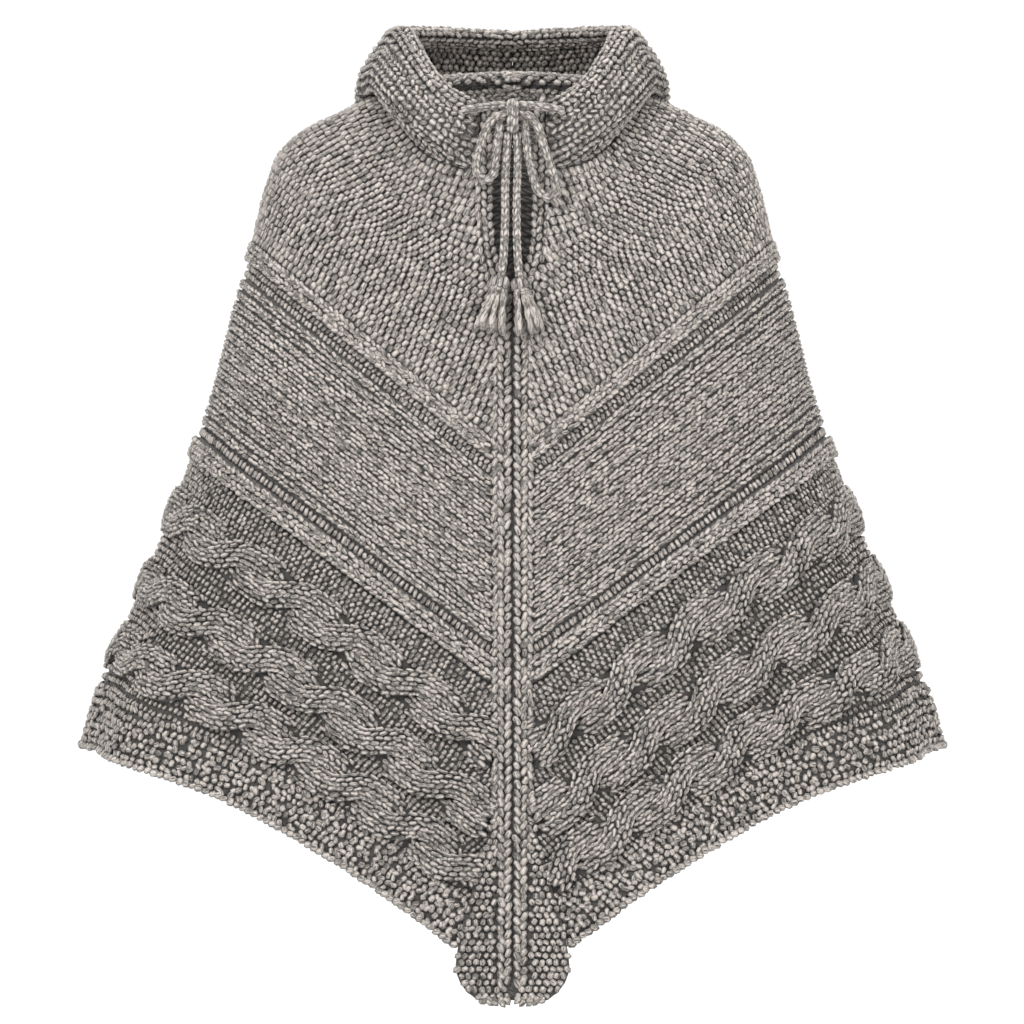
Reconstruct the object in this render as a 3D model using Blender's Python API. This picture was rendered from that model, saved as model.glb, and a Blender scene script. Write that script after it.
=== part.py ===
"""Hooded poncho sweater in chunky knit, hollow and standing out as when it is worn.

Metres, +Z up. The front faces -Y. The origin is in the middle of the neck, at the height where the
garment rests on the shoulders. Each half is knitted in strips that run from the centre front, up
round the side and down to the centre back, so every seam between strips is a V on the front and
one on the back. A point of a half is named by its drop, the height below the origin at which its
strip line would reach the centre front, and its turn, an angle that is 0 at the centre front, a
quarter turn at the side and half a turn at the centre back.
"""

import math

import bpy
import numpy as np

# ---- Driving sizes, in metres and radians ----

WALL = 0.005  # thickness of the knitted fabric
SEAM = 0.0004  # gap between neighbouring pieces
FIT = 0.00015  # more gap where a band follows a curved edge
SMALL = 1e-4  # step for slopes worked out by differences
SETTLING = 6  # rounds in which a point's height and the band beside it settle on each other
SIDE = math.pi / 2
BACK = math.pi
SIDES = {"right": -1, "left": 1}  # the wearer's sides, and which way X runs on them

COLUMNS = 26  # spans of each strip from the centre front to the centre back

SPINE_HALF = 0.0165  # half width of the raised band down the centre front
SPINE_PROUD = 0.0035  # how far that band stands out from the panels
SPINE_TOP = -0.141  # height of its upper end, where the neck slit closes
SPREAD_START = -0.590  # height where it starts to spread into the tail
ROUND_START = -0.755  # height where the tail starts to round off
TAIL_END = -0.789  # height of the tail's lowest point
TAIL_TIP = 0.62  # share of its squared width that the tail loses by there
EDGE_TOP = 0.043  # height of the upper end of the slit's edge bands
EDGE_PROUD = 0.0025  # how far they stand out
EDGE_SETBACK = 0.002  # how far back they lie at their upper end, under the hood's corners

CASING_WIDTH = 0.019  # the drawstring casing along the hood's face edge
CASING_WALL = 0.0095
CASING_SWELL = (0.55, 1.0, 1.0, 0.62)  # share of that thickness from the hood to the face edge
HOOD_COLUMNS = 18  # spans of half the hood from the centre front to the centre back
HOOD_ROWS = 16
NECK_GAP = 0.0009  # gap between the hood and the body along the neck seam
FOOT = 0.004  # the hood leaves the neck seam along the cloth it is sewn to

CORD = 0.0078  # diameter of the drawstring
CORD_STEP = 1.25 * CORD  # spacing of the points along it

# One row a strip line: drop, half width and height at the side, height at the centre back, how
# sharply the line curls up near the side (1 is a straight V), how far it bows up between the
# centre and the side, and the power of the rounded outline (2 is an ellipse).
LINE_COLUMNS = ("drop", "side_x", "side_z", "back_z", "curl", "bow", "power")
LINES = {
    "neck": (0.020, 0.118, 0.048, 0.058, 4.0, 0.0, 2.00),
    "neck_slope": (0.052, 0.141, 0.042, 0.040, 3.1, 0.0, 2.05),
    "shoulder_slope": (0.089, 0.166, 0.030, 0.012, 2.3, 0.0, 2.15),
    "shoulder": (0.139, 0.200, 0.012, -0.040, 1.55, 0.0, 2.30),
    "shoulder_end": (0.180, 0.2195, -0.010, -0.095, 1.2, 0.0, 2.40),
    "upper_arm": (0.215, 0.2285, -0.036, -0.150, 1.08, 0.0, 2.45),
    "rib_top": (0.285, 0.241, -0.086, -0.245, 1.0, 0.0, 2.50),
    "rib_end": (0.308, 0.247, -0.106, -0.272, 1.0, 0.0, 2.50),
    "plain_top": (0.320, 0.251, -0.119, -0.286, 1.0, 0.0, 2.50),
    "plain_end": (0.475, 0.290, -0.2576, -0.448, 1.0, 0.0, 2.50),
    "low_rib_top": (0.4855, 0.294, -0.268, -0.459, 1.0, 0.0, 2.50),
    "low_rib_end": (0.5124, 0.301, -0.288, -0.487, 1.0, 0.0, 2.50),
    "first_cable": (0.571, 0.319, -0.336, -0.549, 1.0, 0.02, 2.50),
    "second_cable": (0.640, 0.3455, -0.402, -0.622, 1.0, 0.08, 2.50),
    "third_cable": (0.704, 0.372, -0.463, -0.690, 1.0, 0.22, 2.50),
    "border_top": (0.732, 0.389, -0.502, -0.720, 1.0, 0.42, 2.50),
    "hem": (0.780, 0.4045, -0.554, -0.770, 1.0, 0.55, 2.50),
}

# Depth of the figure's outline in front of and behind the side line, at each height.
DEPTH_COLUMNS = ("height", "front", "back")
DEPTHS = (
    (0.070, 0.078, 0.080),
    (0.030, 0.081, 0.094),
    (-0.020, 0.088, 0.110),
    (-0.060, 0.102, 0.121),
    (-0.100, 0.116, 0.130),
    (-0.150, 0.130, 0.138),
    (-0.220, 0.142, 0.146),
    (-0.320, 0.154, 0.156),
    (-0.450, 0.171, 0.172),
    (-0.600, 0.194, 0.193),
    (-0.800, 0.226, 0.222),
)

# Half widths down the centre front: the slit that is left open, and the bands beside it, which
# run into the raised band and then spread into the rounded tail.
FRONT_COLUMNS = ("height", "slit", "band")
FRONT = (
    (0.045, 0.0225, 0.0338),
    (0.010, 0.0205, 0.0338),
    (-0.020, 0.0195, 0.0340),
    (-0.060, 0.0195, 0.0335),
    (-0.095, 0.0170, 0.0310),
    (-0.120, 0.0100, 0.0245),
    (-0.140, 0.0015, 0.0180),
    (-0.160, 0.0, SPINE_HALF),
    (-0.590, 0.0, SPINE_HALF),
    (-0.630, 0.0, 0.0205),
    (-0.660, 0.0, 0.0290),
    (-0.728, 0.0, 0.0490),
    (-0.755, 0.0, 0.0530),
    (-0.800, 0.0, 0.0530),
)

BACK_CURL = 0.3  # share of a line's extra curl that it keeps behind

# Soft flutes that the worn cloth falls into, deepest at the hem: turn in degrees, width in
# degrees, depth at the hem and the drop where the fold starts.
FLUTES = (
    (33.0, 11.0, -0.0050, 0.46),
    (55.0, 12.0, 0.0120, 0.36),
    (74.0, 9.0, -0.0080, 0.42),
    (104.0, 12.0, -0.0110, 0.36),
    (127.0, 13.0, 0.0130, 0.40),
    (153.0, 12.0, -0.0030, 0.44),
)

# Profiles of the hood from the neck seam to its face edge, as distance out from the neck and
# height above the seam, by turn in degrees. They rise, turn over, roll outwards (or fall down the
# back as a pouch) and come up again to the edge.
PROFILES = {
    0: ((0.000, 0.008), (0.002, 0.016), (0.003, 0.024), (0.004, 0.032), (0.004, 0.040),
         (0.003, 0.048), (0.002, 0.056), (-0.001, 0.063)),
    50: ((-0.001, 0.008), (0.006, 0.014), (0.013, 0.022), (0.017, 0.032), (0.014, 0.045),
         (0.006, 0.055), (0.001, 0.067), (-0.018, 0.078)),
    90: ((-0.004, 0.007), (0.002, 0.009), (0.011, 0.0055), (0.0158, 0.016), (0.0115, 0.033),
         (0.003, 0.043), (-0.001, 0.054), (-0.020, 0.062)),
    112: ((-0.003, 0.008), (0.005, 0.0085), (0.020, 0.002), (0.031, -0.004), (0.034, 0.014),
          (0.026, 0.032), (0.014, 0.048), (-0.004, 0.062)),
    135: ((-0.001, 0.009), (0.013, 0.008), (0.037, -0.016), (0.058, -0.043), (0.074, -0.026),
          (0.068, 0.008), (0.048, 0.040), (0.024, 0.060)),
    180: ((0.000, 0.010), (0.014, 0.010), (0.048, -0.075), (0.080, -0.200), (0.112, -0.130),
          (0.108, -0.045), (0.092, 0.015), (0.062, 0.052)),
}

# Routes of the drawstring on the wearer's right, which is the -X side, and on the left. Each goes
# from the casing to the bow's knot, round a loop and down a tail.
RUNS = {
    "right": ((-0.0450, -0.0970, 0.0360), (-0.0446, -0.1003, 0.0362), (-0.0385, -0.1038, 0.0372),
              (-0.0260, -0.1045, 0.0392), (-0.0160, -0.1042, 0.0403), (-0.0080, -0.1040, 0.0405)),
    "left": ((0.0450, -0.0970, 0.0360), (0.0446, -0.1003, 0.0362), (0.0385, -0.1038, 0.0376),
             (0.0260, -0.1045, 0.0396), (0.0160, -0.1042, 0.0404), (0.0080, -0.1040, 0.0405)),
}
LOOPS = {
    "right": ((-0.0093, -0.1075, 0.0312), (-0.0135, -0.1080, 0.0311), (-0.0205, -0.1110, 0.0250),
              (-0.0280, -0.1125, 0.0090), (-0.0332, -0.1130, -0.0090), (-0.0330, -0.1140, -0.0220),
              (-0.0255, -0.1145, -0.0295), (-0.0178, -0.1140, -0.0235), (-0.0158, -0.1130, -0.0100),
              (-0.0140, -0.1110, 0.0070), (-0.0124, -0.1085, 0.0180), (-0.0124, -0.1080, 0.0262)),
    "left": ((0.0093, -0.1075, 0.0312), (0.0135, -0.1080, 0.0311), (0.0212, -0.1110, 0.0240),
             (0.0292, -0.1130, 0.0030), (0.0362, -0.1145, -0.0190), (0.0400, -0.1160, -0.0360),
             (0.0340, -0.1170, -0.0455), (0.0250, -0.1165, -0.0400), (0.0182, -0.1150, -0.0220),
             (0.0140, -0.1120, 0.0000), (0.0124, -0.1085, 0.0160), (0.0124, -0.1080, 0.0262)),
}
TAILS = {
    "right": ((-0.0043, -0.1065, 0.0154), (-0.0056, -0.1080, -0.0050), (-0.0068, -0.1115, -0.0320),
              (-0.0068, -0.1185, -0.0620), (-0.0078, -0.1290, -0.0900), (-0.0090, -0.1362, -0.1080),
              (-0.0105, -0.1402, -0.1190)),
    "left": ((0.0043, -0.1065, 0.0154), (0.0050, -0.1080, -0.0050), (0.0044, -0.1120, -0.0320),
             (0.0038, -0.1190, -0.0620), (0.0044, -0.1295, -0.0900), (0.0054, -0.1368, -0.1090),
             (0.0065, -0.1410, -0.1210)),
}

# The bow's knot, an upright rounded block: height and half width and depth of each ring.
KNOT_Y = -0.1060
KNOT_SQUARENESS = 0.35  # power below 1 squares the round section off
KNOT = (
    (0.0160, 0.0068, 0.0068), (0.0175, 0.0075, 0.0078), (0.0250, 0.0075, 0.0084),
    (0.0370, 0.0075, 0.0082), (0.0430, 0.0070, 0.0076), (0.0455, 0.0055, 0.0055),
)

# Tassels: distance along and radius, from the knot at the cord's end to the tips.
TASSEL = (
    (0.000, 0.0040), (0.003, 0.0066), (0.008, 0.0076), (0.013, 0.0066), (0.017, 0.0068),
    (0.028, 0.0098), (0.040, 0.0126), (0.052, 0.0146), (0.056, 0.0120),
)
TASSEL_LEAN = {"right": (-0.20, -0.29), "left": (0.19, -0.29)}  # sideways and forward for each metre down

COLOURS = {
    "knit": (0.33, 0.325, 0.315, 1.0),
    "rib": (0.36, 0.355, 0.345, 1.0),
    "cord": (0.40, 0.39, 0.38, 1.0),
}


# ---- Curves through tables ----

def slopes(at, values):
    """Slopes at the rows of a table, from the parabola through each row and its neighbours."""
    gaps = np.diff(at)[:, None]
    rises = np.diff(values, axis=0) / gaps
    inner = (rises[:-1] * gaps[1:] + rises[1:] * gaps[:-1]) / (gaps[:-1] + gaps[1:])
    return np.vstack([rises[:1], inner, rises[-1:]])


def through(at, values, where):
    """Smooth curve through the rows of a table: cubic pieces that share their slopes."""
    at = np.asarray(at, float)
    values = np.asarray(values, float).reshape(len(at), -1)
    if at[0] > at[-1]:
        at, values = at[::-1], values[::-1]
    where = np.clip(np.asarray(where, float), at[0], at[-1])
    row = np.clip(np.searchsorted(at, where, side="right") - 1, 0, len(at) - 2)
    slope = slopes(at, values)
    width = (at[row + 1] - at[row])[..., None]
    t = (where - at[row])[..., None] / width
    start, end = values[row], values[row + 1]
    leave, arrive = slope[row] * width, slope[row + 1] * width
    return ((2 * t**3 - 3 * t**2 + 1) * start + (t**3 - 2 * t**2 + t) * leave
            + (3 * t**2 - 2 * t**3) * end + (t**3 - t**2) * arrive)


def column(table, names, name):
    return [row[names.index(name)] for row in table]


def line_value(name, drop):
    rows = LINES.values()
    return through(column(rows, LINE_COLUMNS, "drop"), column(rows, LINE_COLUMNS, name), drop)[..., 0]


def depth_at(name, height):
    return through(column(DEPTHS, DEPTH_COLUMNS, "height"), column(DEPTHS, DEPTH_COLUMNS, name), height)[..., 0]


def front_half(name, height):
    """Half width of the slit or of the band at a height, straight between the rows of its table."""
    heights = column(FRONT, FRONT_COLUMNS, "height")[::-1]
    return np.interp(height, heights, column(FRONT, FRONT_COLUMNS, name)[::-1])


def drop_of(line):
    return LINES[line][0]


# ---- The body's surface ----

def flute(drop, turn):
    """How far the soft folds push the cloth out: rounded ridges and troughs that grow towards the hem."""
    out = np.zeros(np.broadcast(drop, turn).shape)
    end = drop_of("hem")
    for centre, width, depth, start in FLUTES:
        grown = np.clip((drop - start) / (end - start), 0, 1) ** 1.5
        out = out + depth * grown * np.exp(-(((np.degrees(turn) - centre) / width) ** 2))
    return out


def body_point(drop, turn, edge=SEAM):
    """Point of the +X half. The line rises from the centre to the side as its share of the width
    does, and its depth is a rounded outline that is deepest at the centre and nothing at the side."""
    drop, turn = np.broadcast_arrays(np.asarray(drop, float), np.asarray(turn, float))
    side_x, side_z = line_value("side_x", drop), line_value("side_z", drop)
    behind = turn > SIDE
    centre_z = np.where(behind, line_value("back_z", drop), -drop)
    power = line_value("power", drop)
    across = np.clip(np.abs(np.sin(turn)), 1e-9, 1) ** (2 / power)
    inward = np.clip(np.abs(np.cos(turn)), 0, 1) ** (2 / power)
    curl = line_value("curl", drop)
    curl = np.where(behind, 1 + BACK_CURL * (curl - 1), curl)
    bow = line_value("bow", drop)
    z = centre_z
    for _ in range(SETTLING):
        inner = np.where(behind, edge / 2, front_half("band", z) + edge / 2)
        x = inner + (side_x - inner) * across
        share = np.clip(x / side_x, 0, 1)
        z = centre_z + (side_z - centre_z) * (share**curl + bow * share * (1 - share))
    depth = np.where(behind, depth_at("back", z), -depth_at("front", z)) * inward
    out = flute(drop, turn)
    return np.stack([x + out * np.sin(turn), depth - out * np.cos(turn), z], axis=-1)


def unit(vectors):
    return vectors / np.maximum(np.linalg.norm(vectors, axis=-1, keepdims=True), 1e-12)


def body_normal(drop, turn):
    """Direction out of the cloth, square to its slopes along and across the strips."""
    turn = np.clip(turn, SMALL, BACK - SMALL)
    side_gap = 30 * SMALL
    turn = np.where(np.abs(turn - SIDE) < side_gap, SIDE + side_gap, turn)
    down = body_point(drop + SMALL, turn) - body_point(drop - SMALL, turn)
    round_it = body_point(drop, turn + SMALL) - body_point(drop, turn - SMALL)
    return unit(np.cross(down, round_it))


def mirrored(points, side):
    return points * (side, 1, 1)


# ---- Solids ----

def material(name):
    made = bpy.data.materials.get(name)
    if made:
        return made
    made = bpy.data.materials.new(name)
    made.use_nodes = True
    shader = made.node_tree.nodes["Principled BSDF"]
    shader.inputs["Base Color"].default_value = COLOURS[name]
    shader.inputs["Roughness"].default_value = 0.92
    shader.inputs["Metallic"].default_value = 0.0
    return made


def add_mesh(name, points, faces, slot):
    mesh = bpy.data.meshes.new(name)
    mesh.from_pydata([tuple(p) for p in points], [], faces)
    mesh.validate()
    if volume_of(points, faces) < 0:
        mesh.flip_normals()
    mesh.shade_smooth()
    mesh.set_sharp_from_angle(angle=math.radians(50))
    mesh.materials.append(material(slot))
    made = bpy.data.objects.new(name, mesh)
    bpy.context.scene.collection.objects.link(made)
    return made


def volume_of(points, faces):
    """Six times the signed volume, as a sum of tetrahedra on the origin."""
    total = 0.0
    for face in faces:
        for first, second in zip(face[1:-1], face[2:]):
            total += float(np.dot(points[face[0]], np.cross(points[first], points[second])))
    return total


def wall_between(name, outer, inner, slot):
    """Closed wall between two grids of points of the same shape, with a rim round its four edges."""
    rows, columns = outer.shape[:2]
    count = rows * columns
    points = np.vstack([outer.reshape(-1, 3), inner.reshape(-1, 3)])

    def at(row, col, layer=0):
        return layer * count + row * columns + col

    faces = []
    for row in range(rows - 1):
        for col in range(columns - 1):
            square = ((row, col), (row + 1, col), (row + 1, col + 1), (row, col + 1))
            faces.append([at(r, c) for r, c in square])
            faces.append([at(r, c, 1) for r, c in reversed(square)])
    rim = [(0, c) for c in range(columns - 1)] + [(r, columns - 1) for r in range(rows - 1)]
    rim += [(rows - 1, c) for c in range(columns - 1, 0, -1)] + [(r, 0) for r in range(rows - 1, 0, -1)]
    for here, after in zip(rim, rim[1:] + rim[:1]):
        faces.append([at(*here), at(*after), at(*after, 1), at(*here, 1)])
    return add_mesh(name, points, faces, slot)


def strip(name, side, first, last, rows, slot, top_gap=SEAM, foot_gap=SEAM):
    """One strip of a half, from one strip line to another, as a wall with an even thickness. Its
    columns lie a little closer together near the centre front, the side and the centre back."""
    drops = np.linspace(drop_of(first) + top_gap / 2, drop_of(last) - foot_gap / 2, rows + 1)
    share = np.linspace(0, 1, COLUMNS + 1)
    turns = BACK * (share - 0.018 * np.sin(4 * math.pi * share))
    drop, turn = np.meshgrid(drops, turns, indexing="ij")
    outer = body_point(drop, turn)
    normal = body_normal(drop, turn)
    normal[:, (0, -1), 0] = 0  # the ends stand square to the centre lines
    inner = outer - WALL * unit(normal)
    return wall_between(name, mirrored(outer, side), mirrored(inner, side), slot)


def centre_front(height, half, proud, rows_across=5):
    """Points across a band at the centre front, a little crowned, with its back on the panels' back."""
    across = np.linspace(-1, 1, rows_across)
    x = half[:, None] * across
    crown = proud * (1 - 0.45 * across**2)
    y = -depth_at("front", height)[:, None] - crown
    z = np.broadcast_to(height[:, None], x.shape)
    return np.stack([x, y, z], axis=-1)


def spine():
    """The raised band down the centre front, which spreads and rounds off in a tail below the hem."""
    heights = np.concatenate([
        np.linspace(SPINE_TOP, SPREAD_START, 12)[:-1],
        np.linspace(SPREAD_START, ROUND_START, 9)[:-1],
        np.linspace(ROUND_START, TAIL_END, 5),
    ])
    half = front_half("band", heights) - SEAM / 2 - FIT
    round_off = np.clip((heights - ROUND_START) / (TAIL_END - ROUND_START), 0, 1)
    half = half * np.sqrt(1 - TAIL_TIP * round_off**2.2)
    outer = centre_front(heights, half, SPINE_PROUD)
    inner = outer.copy()
    inner[..., 1] = -depth_at("front", heights)[:, None] + WALL
    return wall_between("centre_front_band", outer, inner, "rib")


def slit_edge(side_name, side):
    """The band along one edge of the neck slit, from the raised band up to the hood's corner."""
    heights = np.linspace(EDGE_TOP, SPINE_TOP + SEAM, 15)
    inner_half = front_half("slit", heights) + SEAM / 2
    outer_half = front_half("band", heights) - SEAM / 2 - FIT
    across = np.linspace(0, 1, 4)
    x = inner_half[:, None] + (outer_half - inner_half)[:, None] * across
    crown = EDGE_PROUD * (1 - 0.5 * (2 * across - 1) ** 2)
    collar = np.clip((heights - EDGE_TOP / 2) / (EDGE_TOP / 2), 0, 1)
    base = EDGE_SETBACK * collar - depth_at("front", heights)
    y = base[:, None] - crown
    z = np.broadcast_to(heights[:, None], x.shape)
    outer = np.stack([x, y, z], axis=-1)
    inner = outer.copy()
    inner[..., 1] = base[:, None] + WALL
    wall_between(f"slit_band_{side_name}", mirrored(outer, side), mirrored(inner, side), "rib")


# ---- The hood ----

def hood_profiles(turn):
    """For each turn, the hood's profile as a fine smooth curve: points by turn and step."""
    seam = body_point(drop_of("neck"), turn)
    normal = body_normal(drop_of("neck"), turn)
    up_hill = unit(seam - body_point(drop_of("neck") + 0.002, turn))
    out = np.stack([np.sin(turn), -np.cos(turn), np.zeros_like(turn)], axis=-1)
    base = seam - normal * WALL / 2 + up_hill * NECK_GAP
    stations = np.radians(list(PROFILES))
    offsets = np.array(list(PROFILES.values())).reshape(len(stations), -1)
    offset = through(stations, offsets, turn).reshape(len(turn), -1, 2)
    knots = seam[:, None] + offset[..., :1] * out[:, None] + offset[..., 1:] * (0, 0, 1)
    knots = np.concatenate([base[:, None], (base + FOOT * up_hill)[:, None], knots], axis=1)
    return np.array([smooth_route(row, 160) for row in knots])


def smooth_route(route, count):
    """Points at even steps along the smooth curve through a route's own points."""
    route = np.asarray(route, float)
    reach = np.concatenate([[0], np.cumsum(np.linalg.norm(np.diff(route, axis=0), axis=1))])
    fine = through(reach, route, np.linspace(0, reach[-1], 1200))
    travelled = np.concatenate([[0], np.cumsum(np.linalg.norm(np.diff(fine, axis=0), axis=1))])
    even = np.linspace(0, travelled[-1], count)
    return np.stack([np.interp(even, travelled, fine[:, axis]) for axis in range(3)], axis=1)


def grid_normal(points):
    """Direction square to a grid of points, from the differences between neighbours."""
    return unit(np.cross(np.gradient(points, axis=1), np.gradient(points, axis=0)))


def hood_grid(first, last, rows):
    """Points and outward directions of half the hood, between two distances along its profiles. A
    distance that isn't above zero is measured back from the face edge."""
    turn = np.linspace(0, BACK, HOOD_COLUMNS + 1)
    fine = hood_profiles(turn)
    normal = grid_normal(fine)
    normal[-1, :, 0] = 0
    both = np.concatenate([fine, unit(normal)], axis=-1)
    grid = []
    for profile in both:
        steps = np.linalg.norm(np.diff(profile[:, :3], axis=0), axis=1)
        travelled = np.concatenate([[0], np.cumsum(steps)])
        start = first if first >= 0 else travelled[-1] + first
        wanted = np.linspace(start, travelled[-1] + last, rows + 1)
        grid.append([[np.interp(at, travelled, values) for values in profile.T] for at in wanted])
    grid = np.array(grid)
    return grid[..., :3], unit(grid[..., 3:])


def hood_half(side_name, side):
    """One half of the hood, from the neck seam up to the casing, closed by the seam behind."""
    points, normal = hood_grid(0.0, -CASING_WIDTH - SEAM, HOOD_ROWS)
    outer = points + normal * WALL / 2
    inner = points - normal * WALL / 2
    wall_between(f"hood_{side_name}", mirrored(outer, side), mirrored(inner, side), "knit")


def casing():
    """The thicker band along the hood's face edge, from one front corner round the back to the other."""
    half_points, half_normal = hood_grid(-CASING_WIDTH + 2 * SEAM, 0.0, len(CASING_SWELL) - 1)
    half_points[-1, :, 0] = 0
    points = np.concatenate([half_points, mirrored(half_points[::-1][1:], -1)])
    normal = np.concatenate([half_normal, mirrored(half_normal[::-1][1:], -1)])
    swell = np.array(CASING_SWELL)[None, :, None]
    outer = points + normal * swell * CASING_WALL / 2
    inner = points - normal * swell * CASING_WALL / 2
    wall_between("hood_casing", outer, inner, "rib")


# ---- The drawstring ----

def cord(name, route):
    """A round cord along the smooth curve through its route, closed at both ends."""
    length = float(np.linalg.norm(np.diff(smooth_route(route, 300), axis=0), axis=1).sum())
    points = smooth_route(route, max(5, round(length / CORD_STEP)))
    curve = bpy.data.curves.new(name, "CURVE")
    curve.dimensions = "3D"
    curve.bevel_depth = CORD / 2
    curve.bevel_resolution = 2
    curve.use_fill_caps = True
    spline = curve.splines.new("POLY")
    spline.points.add(len(points) - 1)
    spline.points.foreach_set("co", np.hstack([points, np.ones((len(points), 1))]).ravel())
    spline.use_smooth = True
    curve.materials.append(material("cord"))
    made = bpy.data.objects.new(name, curve)
    bpy.context.scene.collection.objects.link(made)
    return made


def stacked(name, rings):
    """A body through rings of points, closed by a flat face at each end."""
    sides = len(rings[0])
    points = np.concatenate(rings)
    faces = [list(range(sides)), list(range(len(points) - sides, len(points)))[::-1]]
    for low in range(0, len(points) - sides, sides):
        for i in range(sides):
            j = (i + 1) % sides
            faces.append([low + j, low + i, low + sides + i, low + sides + j])
    add_mesh(name, points, faces, "cord")


def bow_knot():
    """The bow's knot: an upright rounded block, a little fuller at its waist."""
    sides = 16
    angle = np.linspace(0, 2 * math.pi, sides, endpoint=False) + math.pi / sides
    ring_x = np.sign(np.cos(angle)) * np.abs(np.cos(angle)) ** KNOT_SQUARENESS
    ring_y = np.sign(np.sin(angle)) * np.abs(np.sin(angle)) ** KNOT_SQUARENESS
    rings = [np.stack([half_x * ring_x, KNOT_Y + half_y * ring_y, np.full(sides, z)], axis=1)
             for z, half_x, half_y in KNOT]
    stacked("bow_knot", rings)


def tassel(side_name):
    """A tassel below the end of a tail, turned about its own axis, as the solid that its strands fill."""
    down = unit(np.array((*TASSEL_LEAN[side_name], -1.0)))
    top = np.array(TAILS[side_name][-1]) + 2 * SEAM * down
    across = unit(np.cross(down, (0.0, 1.0, 0.0)))
    over = np.cross(down, across)
    angle = np.linspace(0, 2 * math.pi, 14, endpoint=False)
    ring = np.cos(angle)[:, None] * across + np.sin(angle)[:, None] * over
    stacked(f"tassel_{side_name}", [top + along * down + radius * ring for along, radius in TASSEL])


def drawstring(side_name):
    cord(f"cord_run_{side_name}", RUNS[side_name])
    cord(f"cord_loop_{side_name}", LOOPS[side_name])
    cord(f"cord_tail_{side_name}", TAILS[side_name])
    tassel(side_name)


# ---- The whole garment ----

def half(side_name, side):
    """The strips of one half, from the neck to the hem, its slit band, hood half and drawstring end."""
    strip(f"yoke_{side_name}", side, "neck", "rib_top", 10, "knit", top_gap=0.0)
    strip(f"upper_rib_{side_name}", side, "rib_top", "rib_end", 1, "rib")
    strip(f"plain_band_{side_name}", side, "rib_end", "low_rib_top", 5, "knit")
    strip(f"lower_rib_{side_name}", side, "low_rib_top", "low_rib_end", 1, "rib")
    strip(f"cable_panel_{side_name}", side, "low_rib_end", "border_top", 7, "knit")
    strip(f"hem_border_{side_name}", side, "border_top", "hem", 3, "knit", foot_gap=0.0)
    slit_edge(side_name, side)
    hood_half(side_name, side)
    drawstring(side_name)


def main():
    for old in list(bpy.data.objects):
        bpy.data.objects.remove(old, do_unlink=True)
    for side_name, side in SIDES.items():
        half(side_name, side)
    spine()
    casing()
    bow_knot()


main()
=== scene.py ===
"""Hooded poncho sweater in chunky marled wool, standing out as when it is worn.

Metres, +Z up, the front faces -Y and the origin is in the middle of the neck. The cloth of each
strip is a thin sheet on the form of its solid, and the stitches are grains of yarn laid on it in
rows. A point of a half is named by its drop, the height below the origin at which its strip line
would reach the centre front, and its turn, which is 0 at the centre front, a quarter turn at the
side and half a turn at the centre back.
"""

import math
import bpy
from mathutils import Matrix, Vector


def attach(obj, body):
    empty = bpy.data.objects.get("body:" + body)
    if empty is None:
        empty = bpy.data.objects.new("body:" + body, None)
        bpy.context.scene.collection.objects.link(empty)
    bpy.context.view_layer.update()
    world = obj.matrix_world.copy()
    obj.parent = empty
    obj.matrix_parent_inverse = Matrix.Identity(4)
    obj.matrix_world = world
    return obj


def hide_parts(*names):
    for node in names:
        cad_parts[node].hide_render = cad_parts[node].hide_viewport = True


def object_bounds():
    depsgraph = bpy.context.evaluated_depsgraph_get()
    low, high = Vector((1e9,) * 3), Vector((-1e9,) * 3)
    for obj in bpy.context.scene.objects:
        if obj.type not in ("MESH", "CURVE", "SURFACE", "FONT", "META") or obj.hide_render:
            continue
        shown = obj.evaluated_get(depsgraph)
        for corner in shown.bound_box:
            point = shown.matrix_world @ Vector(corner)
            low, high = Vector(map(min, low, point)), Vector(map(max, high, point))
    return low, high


bl_info = {
    "name": "Knitted Poncho Sweater",
    "version": (1, 0, 0),
    "blender": (4, 5, 0),
    "location": "View3D > Sidebar > Poncho",
    "description": "Knits a hooded poncho sweater with ribs, cables and a tied drawstring",
    "category": "Add Mesh",
}

import bpy
import numpy as np

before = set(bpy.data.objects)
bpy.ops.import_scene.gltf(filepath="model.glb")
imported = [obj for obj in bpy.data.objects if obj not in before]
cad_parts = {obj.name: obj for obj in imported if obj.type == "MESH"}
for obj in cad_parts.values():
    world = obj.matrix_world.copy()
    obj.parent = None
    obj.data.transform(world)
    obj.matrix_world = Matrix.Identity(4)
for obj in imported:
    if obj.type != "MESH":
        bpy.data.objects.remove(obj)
CAD_BOX = [list(corner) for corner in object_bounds()]

SIDE = math.pi / 2
BACK = math.pi
SMALL = 1e-4  # step for slopes worked out by differences
SETTLING = 6  # rounds in which a point's height and the band beside it settle on each other
SIDES = {"right": -1, "left": 1}  # the wearer's sides, and which way X runs on them

# ---- The garment's form ----

WALL = 0.005  # thickness of the knitted fabric
SEAM = 0.0004
SPINE_HALF = 0.0165
SPINE_PROUD = 0.0035
SPINE_TOP = -0.141
SPREAD_START = -0.590
ROUND_START = -0.755
TAIL_END = -0.789
TAIL_TIP = 0.62
EDGE_TOP = 0.043
EDGE_PROUD = 0.0025
EDGE_SETBACK = 0.002
CASING_WIDTH = 0.019
CASING_WALL = 0.0095
CASING_SWELL = (0.55, 1.0, 1.0, 0.62)
NECK_GAP = 0.0009
FOOT = 0.004
BACK_CURL = 0.3

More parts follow.
